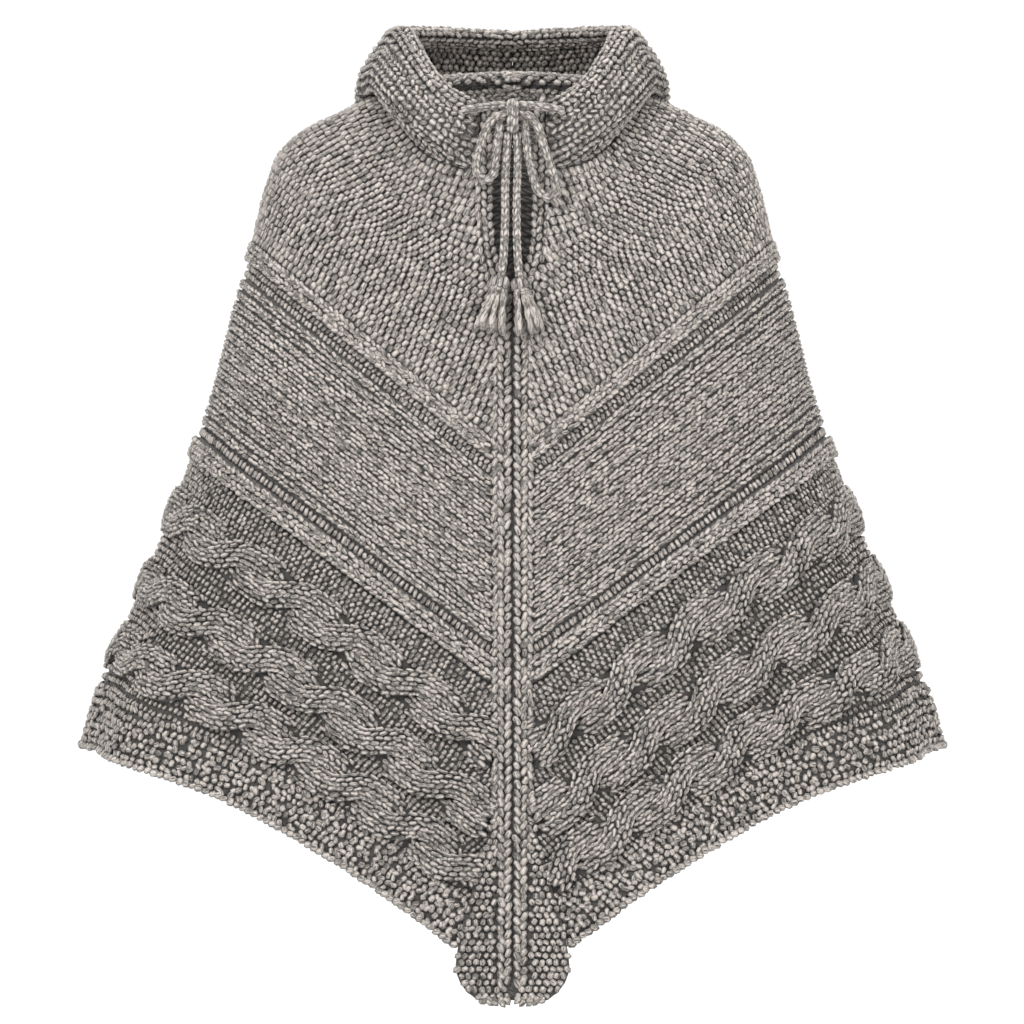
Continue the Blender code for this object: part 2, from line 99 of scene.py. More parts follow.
# One row a strip line: drop, half width and height at the side, height at the centre back, how
# sharply the line curls up near the side (1 is a straight V), how far it bows up between the
# centre and the side, and the power of the rounded outline (2 is an ellipse).
LINE_COLUMNS = ("drop", "side_x", "side_z", "back_z", "curl", "bow", "power")
LINES = {
    "neck": (0.020, 0.118, 0.048, 0.058, 4.0, 0.0, 2.00),
    "neck_slope": (0.052, 0.141, 0.042, 0.040, 3.1, 0.0, 2.05),
    "shoulder_slope": (0.089, 0.166, 0.030, 0.012, 2.3, 0.0, 2.15),
    "shoulder": (0.139, 0.200, 0.012, -0.040, 1.55, 0.0, 2.30),
    "shoulder_end": (0.180, 0.2195, -0.010, -0.095, 1.2, 0.0, 2.40),
    "upper_arm": (0.215, 0.2285, -0.036, -0.150, 1.08, 0.0, 2.45),
    "rib_top": (0.285, 0.241, -0.086, -0.245, 1.0, 0.0, 2.50),
    "rib_end": (0.308, 0.247, -0.106, -0.272, 1.0, 0.0, 2.50),
    "plain_top": (0.320, 0.251, -0.119, -0.286, 1.0, 0.0, 2.50),
    "plain_end": (0.475, 0.290, -0.2576, -0.448, 1.0, 0.0, 2.50),
    "low_rib_top": (0.4855, 0.294, -0.268, -0.459, 1.0, 0.0, 2.50),
    "low_rib_end": (0.5124, 0.301, -0.288, -0.487, 1.0, 0.0, 2.50),
    "first_cable": (0.571, 0.319, -0.336, -0.549, 1.0, 0.02, 2.50),
    "second_cable": (0.640, 0.3455, -0.402, -0.622, 1.0, 0.08, 2.50),
    "third_cable": (0.704, 0.372, -0.463, -0.690, 1.0, 0.22, 2.50),
    "border_top": (0.732, 0.389, -0.502, -0.720, 1.0, 0.42, 2.50),
    "hem": (0.780, 0.4045, -0.554, -0.770, 1.0, 0.55, 2.50),
}

# Depth of the figure's outline in front of and behind the side line, at each height.
DEPTH_COLUMNS = ("height", "front", "back")
DEPTHS = (
    (0.070, 0.078, 0.080),
    (0.030, 0.081, 0.094),
    (-0.020, 0.088, 0.110),
    (-0.060, 0.102, 0.121),
    (-0.100, 0.116, 0.130),
    (-0.150, 0.130, 0.138),
    (-0.220, 0.142, 0.146),
    (-0.320, 0.154, 0.156),
    (-0.450, 0.171, 0.172),
    (-0.600, 0.194, 0.193),
    (-0.800, 0.226, 0.222),
)

# Half widths down the centre front: the slit that is left open, and the bands beside it, which
# run into the raised band and then spread into the rounded tail.
FRONT_COLUMNS = ("height", "slit", "band")
FRONT = (
    (0.045, 0.0225, 0.0338),
    (0.010, 0.0205, 0.0338),
    (-0.020, 0.0195, 0.0340),
    (-0.060, 0.0195, 0.0335),
    (-0.095, 0.0170, 0.0310),
    (-0.120, 0.0100, 0.0245),
    (-0.140, 0.0015, 0.0180),
    (-0.160, 0.0, SPINE_HALF),
    (-0.590, 0.0, SPINE_HALF),
    (-0.630, 0.0, 0.0205),
    (-0.660, 0.0, 0.0290),
    (-0.728, 0.0, 0.0490),
    (-0.755, 0.0, 0.0530),
    (-0.800, 0.0, 0.0530),
)

# Soft flutes that the worn cloth falls into, deepest at the hem: turn in degrees, width in
# degrees, depth at the hem and the drop where the fold starts.
FLUTES = (
    (33.0, 11.0, -0.0050, 0.46),
    (55.0, 12.0, 0.0120, 0.36),
    (74.0, 9.0, -0.0080, 0.42),
    (104.0, 12.0, -0.0110, 0.36),
    (127.0, 13.0, 0.0130, 0.40),
    (153.0, 12.0, -0.0030, 0.44),
)

# Profiles of the hood from the neck seam to its face edge, as distance out from the neck and
# height above the seam, by turn in degrees. They rise, turn over, roll outwards (or fall down the
# back as a pouch) and come up again to the edge.
PROFILES = {
    0: ((0.000, 0.008), (0.002, 0.016), (0.003, 0.024), (0.004, 0.032), (0.004, 0.040),
         (0.003, 0.048), (0.002, 0.056), (-0.001, 0.063)),
    50: ((-0.001, 0.008), (0.006, 0.014), (0.013, 0.022), (0.017, 0.032), (0.014, 0.045),
         (0.006, 0.055), (0.001, 0.067), (-0.018, 0.078)),
    90: ((-0.004, 0.007), (0.002, 0.009), (0.011, 0.0055), (0.0158, 0.016), (0.0115, 0.033),
         (0.003, 0.043), (-0.001, 0.054), (-0.020, 0.062)),
    112: ((-0.003, 0.008), (0.005, 0.0085), (0.020, 0.002), (0.031, -0.004), (0.034, 0.014),
          (0.026, 0.032), (0.014, 0.048), (-0.004, 0.062)),
    135: ((-0.001, 0.009), (0.013, 0.008), (0.037, -0.016), (0.058, -0.043), (0.074, -0.026),
          (0.068, 0.008), (0.048, 0.040), (0.024, 0.060)),
    180: ((0.000, 0.010), (0.014, 0.010), (0.048, -0.075), (0.080, -0.200), (0.112, -0.130),
          (0.108, -0.045), (0.092, 0.015), (0.062, 0.052)),
}

# Routes of the drawstring on the wearer's right, which is the -X side, and on the left. Each goes
# from the casing to the bow's knot, round a loop and down a tail.
RUNS = {
    "right": ((-0.0450, -0.0970, 0.0360), (-0.0446, -0.1003, 0.0362), (-0.0385, -0.1038, 0.0372),
              (-0.0260, -0.1045, 0.0392), (-0.0160, -0.1042, 0.0403), (-0.0080, -0.1040, 0.0405)),
    "left": ((0.0450, -0.0970, 0.0360), (0.0446, -0.1003, 0.0362), (0.0385, -0.1038, 0.0376),
             (0.0260, -0.1045, 0.0396), (0.0160, -0.1042, 0.0404), (0.0080, -0.1040, 0.0405)),
}
LOOPS = {
    "right": ((-0.0093, -0.1075, 0.0312), (-0.0135, -0.1080, 0.0311), (-0.0205, -0.1110, 0.0250),
              (-0.0280, -0.1125, 0.0090), (-0.0332, -0.1130, -0.0090), (-0.0330, -0.1140, -0.0220),
              (-0.0255, -0.1145, -0.0295), (-0.0178, -0.1140, -0.0235), (-0.0158, -0.1130, -0.0100),
              (-0.0140, -0.1110, 0.0070), (-0.0124, -0.1085, 0.0180), (-0.0124, -0.1080, 0.0262)),
    "left": ((0.0093, -0.1075, 0.0312), (0.0135, -0.1080, 0.0311), (0.0212, -0.1110, 0.0240),
             (0.0292, -0.1130, 0.0030), (0.0362, -0.1145, -0.0190), (0.0400, -0.1160, -0.0360),
             (0.0340, -0.1170, -0.0455), (0.0250, -0.1165, -0.0400), (0.0182, -0.1150, -0.0220),
             (0.0140, -0.1120, 0.0000), (0.0124, -0.1085, 0.0160), (0.0124, -0.1080, 0.0262)),
}
TAILS = {
    "right": ((-0.0043, -0.1065, 0.0154), (-0.0056, -0.1080, -0.0050), (-0.0068, -0.1115, -0.0320),
              (-0.0068, -0.1185, -0.0620), (-0.0078, -0.1290, -0.0900), (-0.0090, -0.1362, -0.1080),
              (-0.0105, -0.1402, -0.1190)),
    "left": ((0.0043, -0.1065, 0.0154), (0.0050, -0.1080, -0.0050), (0.0044, -0.1120, -0.0320),
             (0.0038, -0.1190, -0.0620), (0.0044, -0.1295, -0.0900), (0.0054, -0.1368, -0.1090),
             (0.0065, -0.1410, -0.1210)),
}

# How far each tassel leans sideways and forward for each metre down.
TASSEL_LEAN = {"right": (-0.20, -0.29), "left": (0.19, -0.29)}


# ---- Curves through tables ----

def slopes(at, values):
    """Slopes at the rows of a table, from the parabola through each row and its neighbours."""
    gaps = np.diff(at)[:, None]
    rises = np.diff(values, axis=0) / gaps
    inner = (rises[:-1] * gaps[1:] + rises[1:] * gaps[:-1]) / (gaps[:-1] + gaps[1:])
    return np.vstack([rises[:1], inner, rises[-1:]])


def through(at, values, where):
    """Smooth curve through the rows of a table: cubic pieces that share their slopes."""
    at = np.asarray(at, float)
    values = np.asarray(values, float).reshape(len(at), -1)
    if at[0] > at[-1]:
        at, values = at[::-1], values[::-1]
    where = np.clip(np.asarray(where, float), at[0], at[-1])
    row = np.clip(np.searchsorted(at, where, side="right") - 1, 0, len(at) - 2)
    slope = slopes(at, values)
    width = (at[row + 1] - at[row])[..., None]
    t = (where - at[row])[..., None] / width
    start, end = values[row], values[row + 1]
    leave, arrive = slope[row] * width, slope[row + 1] * width
    return ((2 * t**3 - 3 * t**2 + 1) * start + (t**3 - 2 * t**2 + t) * leave
            + (3 * t**2 - 2 * t**3) * end + (t**3 - t**2) * arrive)


def column(table, names, name):
    return [row[names.index(name)] for row in table]


def line_value(name, drop):
    rows = LINES.values()
    return through(column(rows, LINE_COLUMNS, "drop"), column(rows, LINE_COLUMNS, name), drop)[..., 0]


def depth_at(name, height):
    heights = column(DEPTHS, DEPTH_COLUMNS, "height")
    return through(heights, column(DEPTHS, DEPTH_COLUMNS, name), height)[..., 0]


def front_half(name, height):
    """Half width of the slit or of the band at a height, straight between the rows of its table."""
    heights = column(FRONT, FRONT_COLUMNS, "height")[::-1]
    return np.interp(height, heights, column(FRONT, FRONT_COLUMNS, name)[::-1])


def drop_of(line):
    return LINES[line][0]


# ---- The body's surface ----

def flute(drop, turn):
    """How far the soft folds push the cloth out: rounded ridges and troughs that grow towards the hem."""
    out = np.zeros(np.broadcast(drop, turn).shape)
    end = drop_of("hem")
    for centre, width, depth, start in FLUTES:
        grown = np.clip((drop - start) / (end - start), 0, 1) ** 1.5
        out = out + depth * grown * np.exp(-(((np.degrees(turn) - centre) / width) ** 2))
    return out


def body_point(drop, turn, edge=SEAM):
    """Point of the +X half. The line rises from the centre to the side as its share of the width
    does, and its depth is a rounded outline that is deepest at the centre and nothing at the side."""
    drop, turn = np.broadcast_arrays(np.asarray(drop, float), np.asarray(turn, float))
    side_x, side_z = line_value("side_x", drop), line_value("side_z", drop)
    behind = turn > SIDE
    centre_z = np.where(behind, line_value("back_z", drop), -drop)
    power = line_value("power", drop)
    across = np.clip(np.abs(np.sin(turn)), 1e-9, 1) ** (2 / power)
    inward = np.clip(np.abs(np.cos(turn)), 0, 1) ** (2 / power)
    curl = line_value("curl", drop)
    curl = np.where(behind, 1 + BACK_CURL * (curl - 1), curl)
    bow = line_value("bow", drop)
    z = centre_z
    for _ in range(SETTLING):
        inner = np.where(behind, edge / 2, front_half("band", z) + edge / 2)
        x = inner + (side_x - inner) * across
        share = np.clip(x / side_x, 0, 1)
        z = centre_z + (side_z - centre_z) * (share**curl + bow * share * (1 - share))
    depth = np.where(behind, depth_at("back", z), -depth_at("front", z)) * inward
    out = flute(drop, turn)
    return np.stack([x + out * np.sin(turn), depth - out * np.cos(turn), z], axis=-1)


def unit(vectors):
    return vectors / np.maximum(np.linalg.norm(vectors, axis=-1, keepdims=True), 1e-12)


def body_normal(drop, turn):
    """Direction out of the cloth, square to its slopes along and across the strips."""
    turn = np.clip(turn, SMALL, BACK - SMALL)
    side_gap = 30 * SMALL
    turn = np.where(np.abs(turn - SIDE) < side_gap, SIDE + side_gap, turn)
    down = body_point(drop + SMALL, turn) - body_point(drop - SMALL, turn)
    round_it = body_point(drop, turn + SMALL) - body_point(drop, turn - SMALL)
    return unit(np.cross(down, round_it))


def hood_profiles(turn):
    """For each turn, the hood's profile as a fine smooth curve: points by turn and step."""
    seam = body_point(drop_of("neck"), turn)
    normal = body_normal(drop_of("neck"), turn)
    up_hill = unit(seam - body_point(drop_of("neck") + 0.002, turn))
    out = np.stack([np.sin(turn), -np.cos(turn), np.zeros_like(turn)], axis=-1)
    base = seam - normal * WALL / 2 + up_hill * NECK_GAP
    stations = np.radians(list(PROFILES))
    offsets = np.array(list(PROFILES.values())).reshape(len(stations), -1)
    offset = through(stations, offsets, turn).reshape(len(turn), -1, 2)
    knots = seam[:, None] + offset[..., :1] * out[:, None] + offset[..., 1:] * (0, 0, 1)
    knots = np.concatenate([base[:, None], (base + FOOT * up_hill)[:, None], knots], axis=1)
    return np.array([smooth_route(row, 160) for row in knots])


def smooth_route(route, count):
    """Points at even steps along the smooth curve through a route's own points."""
    route = np.asarray(route, float)
    reach = np.concatenate([[0], np.cumsum(np.linalg.norm(np.diff(route, axis=0), axis=1))])
    fine = through(reach, route, np.linspace(0, reach[-1], 1200))
    travelled = np.concatenate([[0], np.cumsum(np.linalg.norm(np.diff(fine, axis=0), axis=1))])
    even = np.linspace(0, travelled[-1], count)
    return np.stack([np.interp(even, travelled, fine[:, axis]) for axis in range(3)], axis=1)


def grid_normal(points):
    """Direction square to a grid of points, from the differences between neighbours."""
    return unit(np.cross(np.gradient(points, axis=1), np.gradient(points, axis=0)))


def centre_front(height, half, proud, rows_across=5):
    """Points across a band at the centre front, a little crowned, with its back on the panels' back."""
    across = np.linspace(-1, 1, rows_across)
    x = half[:, None] * across
    crown = proud * (1 - 0.45 * across**2)
    y = -depth_at("front", height)[:, None] - crown
    z = np.broadcast_to(height[:, None], x.shape)
    return np.stack([x, y, z], axis=-1)


# ---- Meshes from arrays ----

def signed_volume(points, faces):
    """Six times the volume inside quads, as tetrahedra on the origin, below zero if inside out."""
    a, b, c, d = (points[faces[:, k]] for k in range(4))
    return float(np.sum(a * (np.cross(b, c) + np.cross(c, d))))


def quick_mesh(name, points, corners, sizes, vectors, floats):
    """A smooth mesh from flat arrays of points, face corners and face sizes, with its attributes."""
    mesh = bpy.data.meshes.new(name)
    mesh.vertices.add(len(points))
    mesh.vertices.foreach_set("co", points.astype(np.float32).ravel())
    mesh.loops.add(len(corners))
    mesh.loops.foreach_set("vertex_index", corners.astype(np.int32))
    mesh.polygons.add(len(sizes))
    starts = np.concatenate([[0], np.cumsum(sizes)[:-1]])
    mesh.polygons.foreach_set("loop_start", starts.astype(np.int32))
    mesh.update(calc_edges=True)
    mesh.shade_smooth()
    for key, values in vectors.items():
        made = mesh.attributes.new(key, "FLOAT_VECTOR", "POINT")
        made.data.foreach_set("vector", values.astype(np.float32).ravel())
    for key, values in floats.items():
        made = mesh.attributes.new(key, "FLOAT", "POINT")
        made.data.foreach_set("value", values.astype(np.float32).ravel())
    mesh.validate()
    return mesh


def add_piece(name, mesh, finish):
    """An object at the origin that rides on the body and takes its finish from a slot."""
    mesh.materials.append(finish)
    piece = bpy.data.objects.new(name, mesh)
    bpy.context.scene.collection.objects.link(piece)
    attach(piece, "root")
    return piece


def grid_quads(rows, columns, wrap=False):
    """Corner numbers of the quads of a grid, whose columns may close on themselves."""
    index = np.arange(rows * columns).reshape(rows, columns)
    after = np.roll(index, -1, axis=1) if wrap else index[:, 1:]
    index = index if wrap else index[:, :-1]
    return np.stack([index[:-1], index[1:], after[1:], after[:-1]], axis=-1).reshape(-1, 4)


def distances(points, axis):
    """Distance travelled along one axis of a grid of points, starting at 0."""
    steps = np.linalg.norm(np.diff(points, axis=axis), axis=-1)
    start = np.zeros_like(np.take(steps, [0], axis=axis))
    return np.concatenate([start, np.cumsum(steps, axis=axis)], axis=axis)


def cloth(name, outer, inner, nodes, width=None):
    """A thin closed sheet between two grids of points. The flat size of its cut, its longest row and
    column and the area between its outer points, is worked out but not used."""
    rows, columns = outer.shape[:2]
    count = rows * columns
    index = np.arange(count).reshape(rows, columns)
    ring = np.concatenate([index[0, :-1], index[:-1, -1], index[-1, :0:-1], index[:0:-1, 0]])
    after = np.roll(ring, -1)
    rim = np.stack([ring, after, after + count, ring + count], axis=-1)
    quads = grid_quads(rows, columns)
    faces = np.concatenate([quads, quads[:, ::-1] + count, rim])
    points = np.concatenate([outer.reshape(-1, 3), inner.reshape(-1, 3)])
    if signed_volume(points, faces) < 0:
        faces = faces[:, ::-1]
    along = distances(outer, 1)
    down = distances(outer, 0)
    place = np.stack([along, down, np.zeros_like(down)], axis=-1).reshape(-1, 3)
    place = np.concatenate([place, place + (0, 0, 1)])
    lift = np.full(len(points), GROUND_LIFT)
    mesh = quick_mesh(name, points, faces.ravel(), np.full(len(faces), 4), {"yarn": place}, {"lift": lift})
    piece = add_piece(name, mesh, ground_wool())
    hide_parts(*nodes)
    a, b, c, d = (outer.reshape(-1, 3)[quads[:, k]] for k in range(4))
    area = float(np.linalg.norm(np.cross(c - a, d - b), axis=-1).sum() / 2)
    width, length = width or float(down[-1].max()), float(along[:, -1].max())
    return piece


# ---- Stitches ----

GROUND_LIFT = 0.12  # lift given to the cloth's points, as a share of the stitches' crowns: how bright the painted shade between the stitches is meant to be, though the ground's finish does not read it
WALE = 0.0080  # spacing of the plain columns
STITCH = 0.0066  # spacing along them
LEG = (0.0106, 0.0037, 0.0040)  # one leg of a plain stitch: length, width and height
BUMP = (0.0100, 0.0058, 0.0048)  # a purl bump of the yoke, the same
FINE_BUMP = (0.0072, 0.0047, 0.0038)  # a purl bump between the cables
LEG_TILT = math.radians(21)
STATIONS = ((-0.5, 0.0), (-0.23, 1.0), (0.23, 1.0), (0.5, 0.0))  # along and radius shares of a grain


class Stitches:
    """Grains of yarn, gathered from many rows and made into one mesh."""

    def __init__(self, seed):
        self.random = np.random.default_rng(seed)
        self.rows = []

    def add(self, centre, normal, run, size, turn_noise=7.0, place_noise=0.0004):
        """Grains at centre that stand out along normal and lie along run, each a little uneven."""
        count = len(centre)
        normal = unit(np.broadcast_to(normal, centre.shape))
        run = unit(run - np.sum(run * normal, axis=-1, keepdims=True) * normal)
        across = np.cross(normal, run)
        twist = np.radians(self.random.normal(0, turn_noise, count))[:, None]
        run = run * np.cos(twist) + across * np.sin(twist)
        shift = self.random.normal(0, place_noise, (count, 2))
        centre = centre + shift[:, :1] * run + shift[:, 1:] * across
        sizes = np.array(size) * self.random.normal(1, 0.09, (count, 3)).clip(0.75, 1.3)
        self.rows.append((centre, normal, run, sizes))

    def mesh(self, name, sides=5):
        """Each grain is a closed bead: two equal rings between two points, its crown at its height and
        its ends low, so that it sinks into the cloth where the next one begins."""
        centre, normal, run, sizes = (np.concatenate(part) for part in zip(*self.rows))
        count = len(centre)
        across = np.cross(normal, run)
        length, width, height = (sizes[:, None, k] for k in range(3))
        angle = np.pi / 2 + 2 * np.pi * np.arange(sides) / sides
        shares = [(STATIONS[0][0], 0.0, 0.10)]
        for along, radius in STATIONS[1:-1]:
            shares += [(along, radius * math.cos(a), 0.42 + 0.58 * math.sin(a)) for a in angle]
        shares += [(STATIONS[-1][0], 0.0, 0.10)]
        along, out, up = np.array(shares).T[:, None]
        points = (centre[:, None] + (along * length)[..., None] * run[:, None]
                  + (out * width / 2)[..., None] * across[:, None]
                  + (up * height)[..., None] * normal[:, None])
        faces, face_sizes = self.grain_faces(sides)
        per = points.shape[1]
        corners = (faces[None] + per * np.arange(count)[:, None]).ravel()
        around = np.concatenate([[0.5], np.tile(np.arange(sides) / sides, 2), [0.5]])
        tone = np.broadcast_to(self.random.random((count, 1)), (count, per))
        place = np.stack([along * length + 7 * tone, around * width * 3 + 0 * tone, tone], axis=-1)
        # Lift is the height on the grain; the wool finish paints shade by it on the grain's low flanks and ends.
        lift = np.broadcast_to(np.clip(up, 0, 1), (count, per))
        return quick_mesh(name, points.reshape(-1, 3), corners, np.tile(face_sizes, count),
                          {"yarn": place.reshape(-1, 3)}, {"lift": lift.ravel()})

    @staticmethod
    def grain_faces(sides):
        """Corner numbers of one grain: a fan at each end and a ring of quads between."""
        here = np.arange(sides)
        there = (here + 1) % sides
        first, second, last = 1, 1 + sides, 1 + 2 * sides
        fans = [np.stack([np.zeros(sides, int), first + here, first + there], axis=-1).ravel()]
        fans += [np.stack([np.full(sides, last), second + there, second + here], axis=-1).ravel()]
        band = np.stack([first + here, second + here, second + there, first + there], axis=-1).ravel()
        sizes = np.concatenate([np.full(2 * sides, 3), np.full(sides, 4)])
        return np.concatenate([*fans, band]), sizes

    def piece(self, name, slot="knit", sides=5):
        return add_piece(name, self.mesh(name, sides), wool("marled_wool_stitches"))


# How far the cloth stands out from the solids' outer face, by drop: low in the purl troughs and
# the groove above the cables, proud on the ribs.
RELIEF = (
    (0.000, -0.0016), (0.282, -0.0016), (0.2865, 0.0008), (0.305, 0.0008), (0.309, -0.0036),
    (0.3185, -0.0036), (0.322, -0.0014), (0.4735, -0.0014), (0.4765, -0.0036), (0.4845, -0.0036),
    (0.4875, 0.0008), (0.5095, 0.0008), (0.5120, -0.0046), (0.5140, -0.0046), (0.5170, -0.0030),
    (0.728, -0.0030), (0.735, -0.0018), (0.800, -0.0018),
)


def relief(drop):
    heights = np.array(RELIEF)
    return np.interp(drop, heights[:, 0], heights[:, 1])


def frame_at(drop, turn, side):
    """Point, outward normal, direction along the strip line and direction across it, downwards."""
    drop, turn = np.broadcast_arrays(np.asarray(drop, float), np.asarray(turn, float))
    turn = np.clip(turn, 0, BACK)
    point = body_point(drop, turn)
    normal = body_normal(drop, turn)
    low = np.clip(turn, SMALL, BACK - SMALL)
    along = unit(body_point(drop, low + SMALL) - body_point(drop, low - SMALL))
    down = body_point(drop + SMALL, turn) - body_point(drop - SMALL, turn)
    down = unit(down - np.sum(down * along, axis=-1, keepdims=True) * along)
    mirror = np.array((side, 1, 1))
    return point * mirror, normal * mirror, along * mirror, down * mirror


def even_turns(drop, step, shift):
    """Turns at even steps of length along a strip line, starting a share of a step from the front."""
    fine = np.linspace(0, BACK, 721)
    path = body_point(np.full(fine.shape, drop), fine)
    reach = distances(path, 0)
    count = int(reach[-1] / step)
    return np.interp((np.arange(count) + shift) * reach[-1] / count, reach, fine)


def moved(drop, turn, along, down):
    """Drop and turn of the point of the cloth that lies given lengths along and across the line."""
    slope_drop = (body_point(drop + SMALL, turn) - body_point(drop - SMALL, turn)) / (2 * SMALL)
    low = np.clip(turn, SMALL, BACK - SMALL)
    slope_turn = (body_point(drop, low + SMALL) - body_point(drop, low - SMALL)) / (2 * SMALL)
    to_along = unit(slope_turn)
    to_down = unit(slope_drop - np.sum(slope_drop * to_along, axis=-1, keepdims=True) * to_along)
    drops = down / np.maximum(np.sum(slope_drop * to_down, axis=-1), 0.2)
    pull = np.sum(slope_drop * to_along, axis=-1) * drops
    turns = (along - pull) / np.maximum(np.linalg.norm(slope_turn, axis=-1), 0.02)
    return drop + drops, np.clip(turn + turns, 0, BACK)


def staggered(number):
    """Where a row's first stitch lies, as a share of a step: each row is half a step past the last."""
    return 0.25 + 0.5 * (number % 2)


def drops_between(first, last, spacing_at_front):
    """Drops of the columns between two lines, spaced evenly where they meet the centre front."""
    count = max(1, round((last - first) * FRONT_SLOPE / spacing_at_front))
    return first + (np.arange(count) + 0.5) * (last - first) / count


FRONT_SLOPE = 0.80  # length across the strips for each unit of drop at the centre front


def plain_column(yarn, drop, side, wale=WALE, leg=LEG, tilt=math.radians(9)):
    """A column of plain stitches: two rows of legs that lean towards each other."""
    turn = even_turns(drop, STITCH, 0.5)
    for way in (-1, 1):
        across = way * 0.235 * wale
        lower = (0.0, 0.5 * STITCH)[way > 0]
        drops, turns = moved(np.full(turn.shape, drop), turn, np.full(turn.shape, lower),
                             np.full(turn.shape, across))
        point, normal, along, down = frame_at(drops, turns, side)
        run = along * math.cos(tilt) + way * down * math.sin(tilt)
        yarn.add(point + normal * relief(drops)[..., None], normal, run, leg)


def purl_row(yarn, drop, side, step, size, lean, shift, spread=8.0, keep=None, slant=0.0, gap=None):
    """A row of purl bumps that stand across the strip line, leaning by an angle. With gap, the drop
    to the next row, each is as long as the rows there are far apart."""
    turn = even_turns(drop, step, shift)
    if keep is not None:
        turn = turn[keep(drop, turn)]
    point, normal, along, down = frame_at(np.full(turn.shape, drop), turn, side)
    run = down * math.cos(lean) - along * math.sin(lean)
    near_front = (slant * np.clip(1.35 - turn, 0, 1))[:, None]
    run = run * (1 - near_front) + np.array((side * 0.62, 0, -0.78)) * near_front
    if gap:
        apart = body_point(drop + gap, turn) - body_point(np.full(turn.shape, drop), turn)
        rows_apart = np.abs(np.sum(apart * down * (side, 1, 1), axis=-1))
        stretch = np.clip(rows_apart / 0.0062, 0.85, 1.7)[:, None]
        size = np.array(size) * np.concatenate([stretch, 0.6 + 0.4 * stretch, 0 * stretch + 1], axis=-1)
    yarn.add(point + normal * relief(drop), normal, run, size, spread, 0.00004 * spread)


def strip_cloth(name, side_name, first, last, nodes):
    """The sheet of one strip, with rows where its relief changes."""
    side = SIDES[side_name]
    top, foot = LINES[first][0], LINES[last][0]
    bends = [row[0] for row in RELIEF if top < row[0] < foot]
    drops = np.unique(np.concatenate([np.linspace(top, foot, max(3, round((foot - top) / 0.012))), bends]))
    turn, drop = np.meshgrid(np.linspace(0, BACK, 97), drops)
    point, normal, _, _ = frame_at(drop, turn, side)
    normal[:, (0, -1), 0] = 0
    normal = unit(normal)
    outer = point + normal * relief(drop)[..., None]
    inner = point - normal * WALL
    return cloth(name, outer, inner, nodes)


# ---- Cables ----

CABLE_REACH = 0.0110  # how far a strand's middle swings to each side of the cable's line
CABLE_RISE = 0.0042  # how far it rises and sinks where the strands cross
STRAND_HALF = 0.0120  # half width of a strand
STRAND_HIGH = 0.0052  # height of its crown over its edges
# Length from the centre front to the first crossing, and between crossings.
CABLES = {
    "first_cable": (0.035, 0.0700),
    "second_cable": (0.058, 0.0690),
    "third_cable": (0.016, 0.0640),
}
CABLE_CLEAR = 0.0140  # how far from a cable's line the ground's bumps stop
STRAND_TILT = math.radians(13)
STRAND_LEG = (0.0112, 0.0045, 0.0042)
STRAND_LEGS = (-0.88, -0.55, -0.19, 0.19, 0.55, 0.88)  # across a strand, in half widths


def strand(line, side, which, step, shift=0.0):
    """One strand's path: drops, turns, the way it heads against the line and how high it runs. It
    swings like a cosine across the line and rises like a sine, so it passes over the other strand
    once a turn, and always the same way."""
    drop = LINES[line][0]
    start, crossing = CABLES[line]
    fine = np.linspace(0, BACK, 721)
    reach = distances(body_point(np.full(fine.shape, drop), fine), 0)
    length = np.arange(0.002 + shift, reach[-1] - 0.002, step)
    angle = np.pi * (length - start) / crossing + np.pi * (which + 0.5)
    swing = side * CABLE_REACH * np.cos(angle) * (1.5 - 0.5 * np.cos(angle) ** 2)
    heading = np.arctan(-1.5 * side * CABLE_REACH * np.pi / crossing * np.sin(angle) ** 3)
    turn = np.interp(length, reach, fine)
    drops, turns = moved(np.full(turn.shape, drop), turn, np.zeros(turn.shape), swing)
    return drops, turns, heading, CABLE_RISE * (1 + np.sin(angle)), swing


def strand_section(line, side, which, step, across, shift=0.0):
    """Frames at one distance across a strand, on its rounded crown."""
    drops, turns, heading, rise, _ = strand(line, side, which, step, shift)
    sideways = across * STRAND_HALF
    drops, turns = moved(drops, turns, -sideways * np.sin(heading), sideways * np.cos(heading))
    point, normal, along, down = frame_at(drops, turns, side)
    run = along * np.cos(heading)[:, None] + down * np.sin(heading)[:, None]
    beside = down * np.cos(heading)[:, None] - along * np.sin(heading)[:, None]
    crown = STRAND_HIGH * math.sqrt(1 - across**2)
    lean = math.atan(STRAND_HIGH / STRAND_HALF * across / math.sqrt(1 - across**2))
    out = normal * math.cos(lean) + beside * math.sin(lean)
    flat = 0.55 + 0.45 * np.abs(normal[:, 1])
    point = point + normal * (relief(drops) + (rise + crown) * flat)[:, None]
    return point, out, run, beside, normal, rise


def cable(yarn, core, line, side):
    """A two-strand cable: legs of plain stitches round the crown of each strand, and a soft core."""
    for which in (0, 1):
        for number, across in enumerate(STRAND_LEGS):
            shift = STITCH * (0.0, 0.5)[number % 2]
            point, out, run, beside, _, rise = strand_section(line, side, which, STITCH, across, shift)
            way = (-1, 1)[number % 2]
            tilted = run * math.cos(STRAND_TILT) + way * beside * math.sin(STRAND_TILT)
            seen = rise > CABLE_RISE * (0.30 if abs(across) > 0.5 else 0.10)
            yarn.add((point - out * 0.0016)[seen], out[seen], tilted[seen], STRAND_LEG)
        core.append(strand_core(line, side, which))


def strand_core(line, side, which):
    """The strand's own body under its stitches: rings along it, flat below and round above."""
    shares = np.cos(np.linspace(0, np.pi, 7))[1:-1] * 0.97
    rows = [strand_section(line, side, which, 0.008, share) for share in (-0.995, *shares[::-1], 0.995)]
    top = np.stack([row[0] - row[1] * 0.0014 for row in rows], axis=1)
    low = np.stack([row[0] - row[4] * 0.0050 for row in (rows[-1], rows[0])], axis=1)
    return np.concatenate([top, low], axis=1)


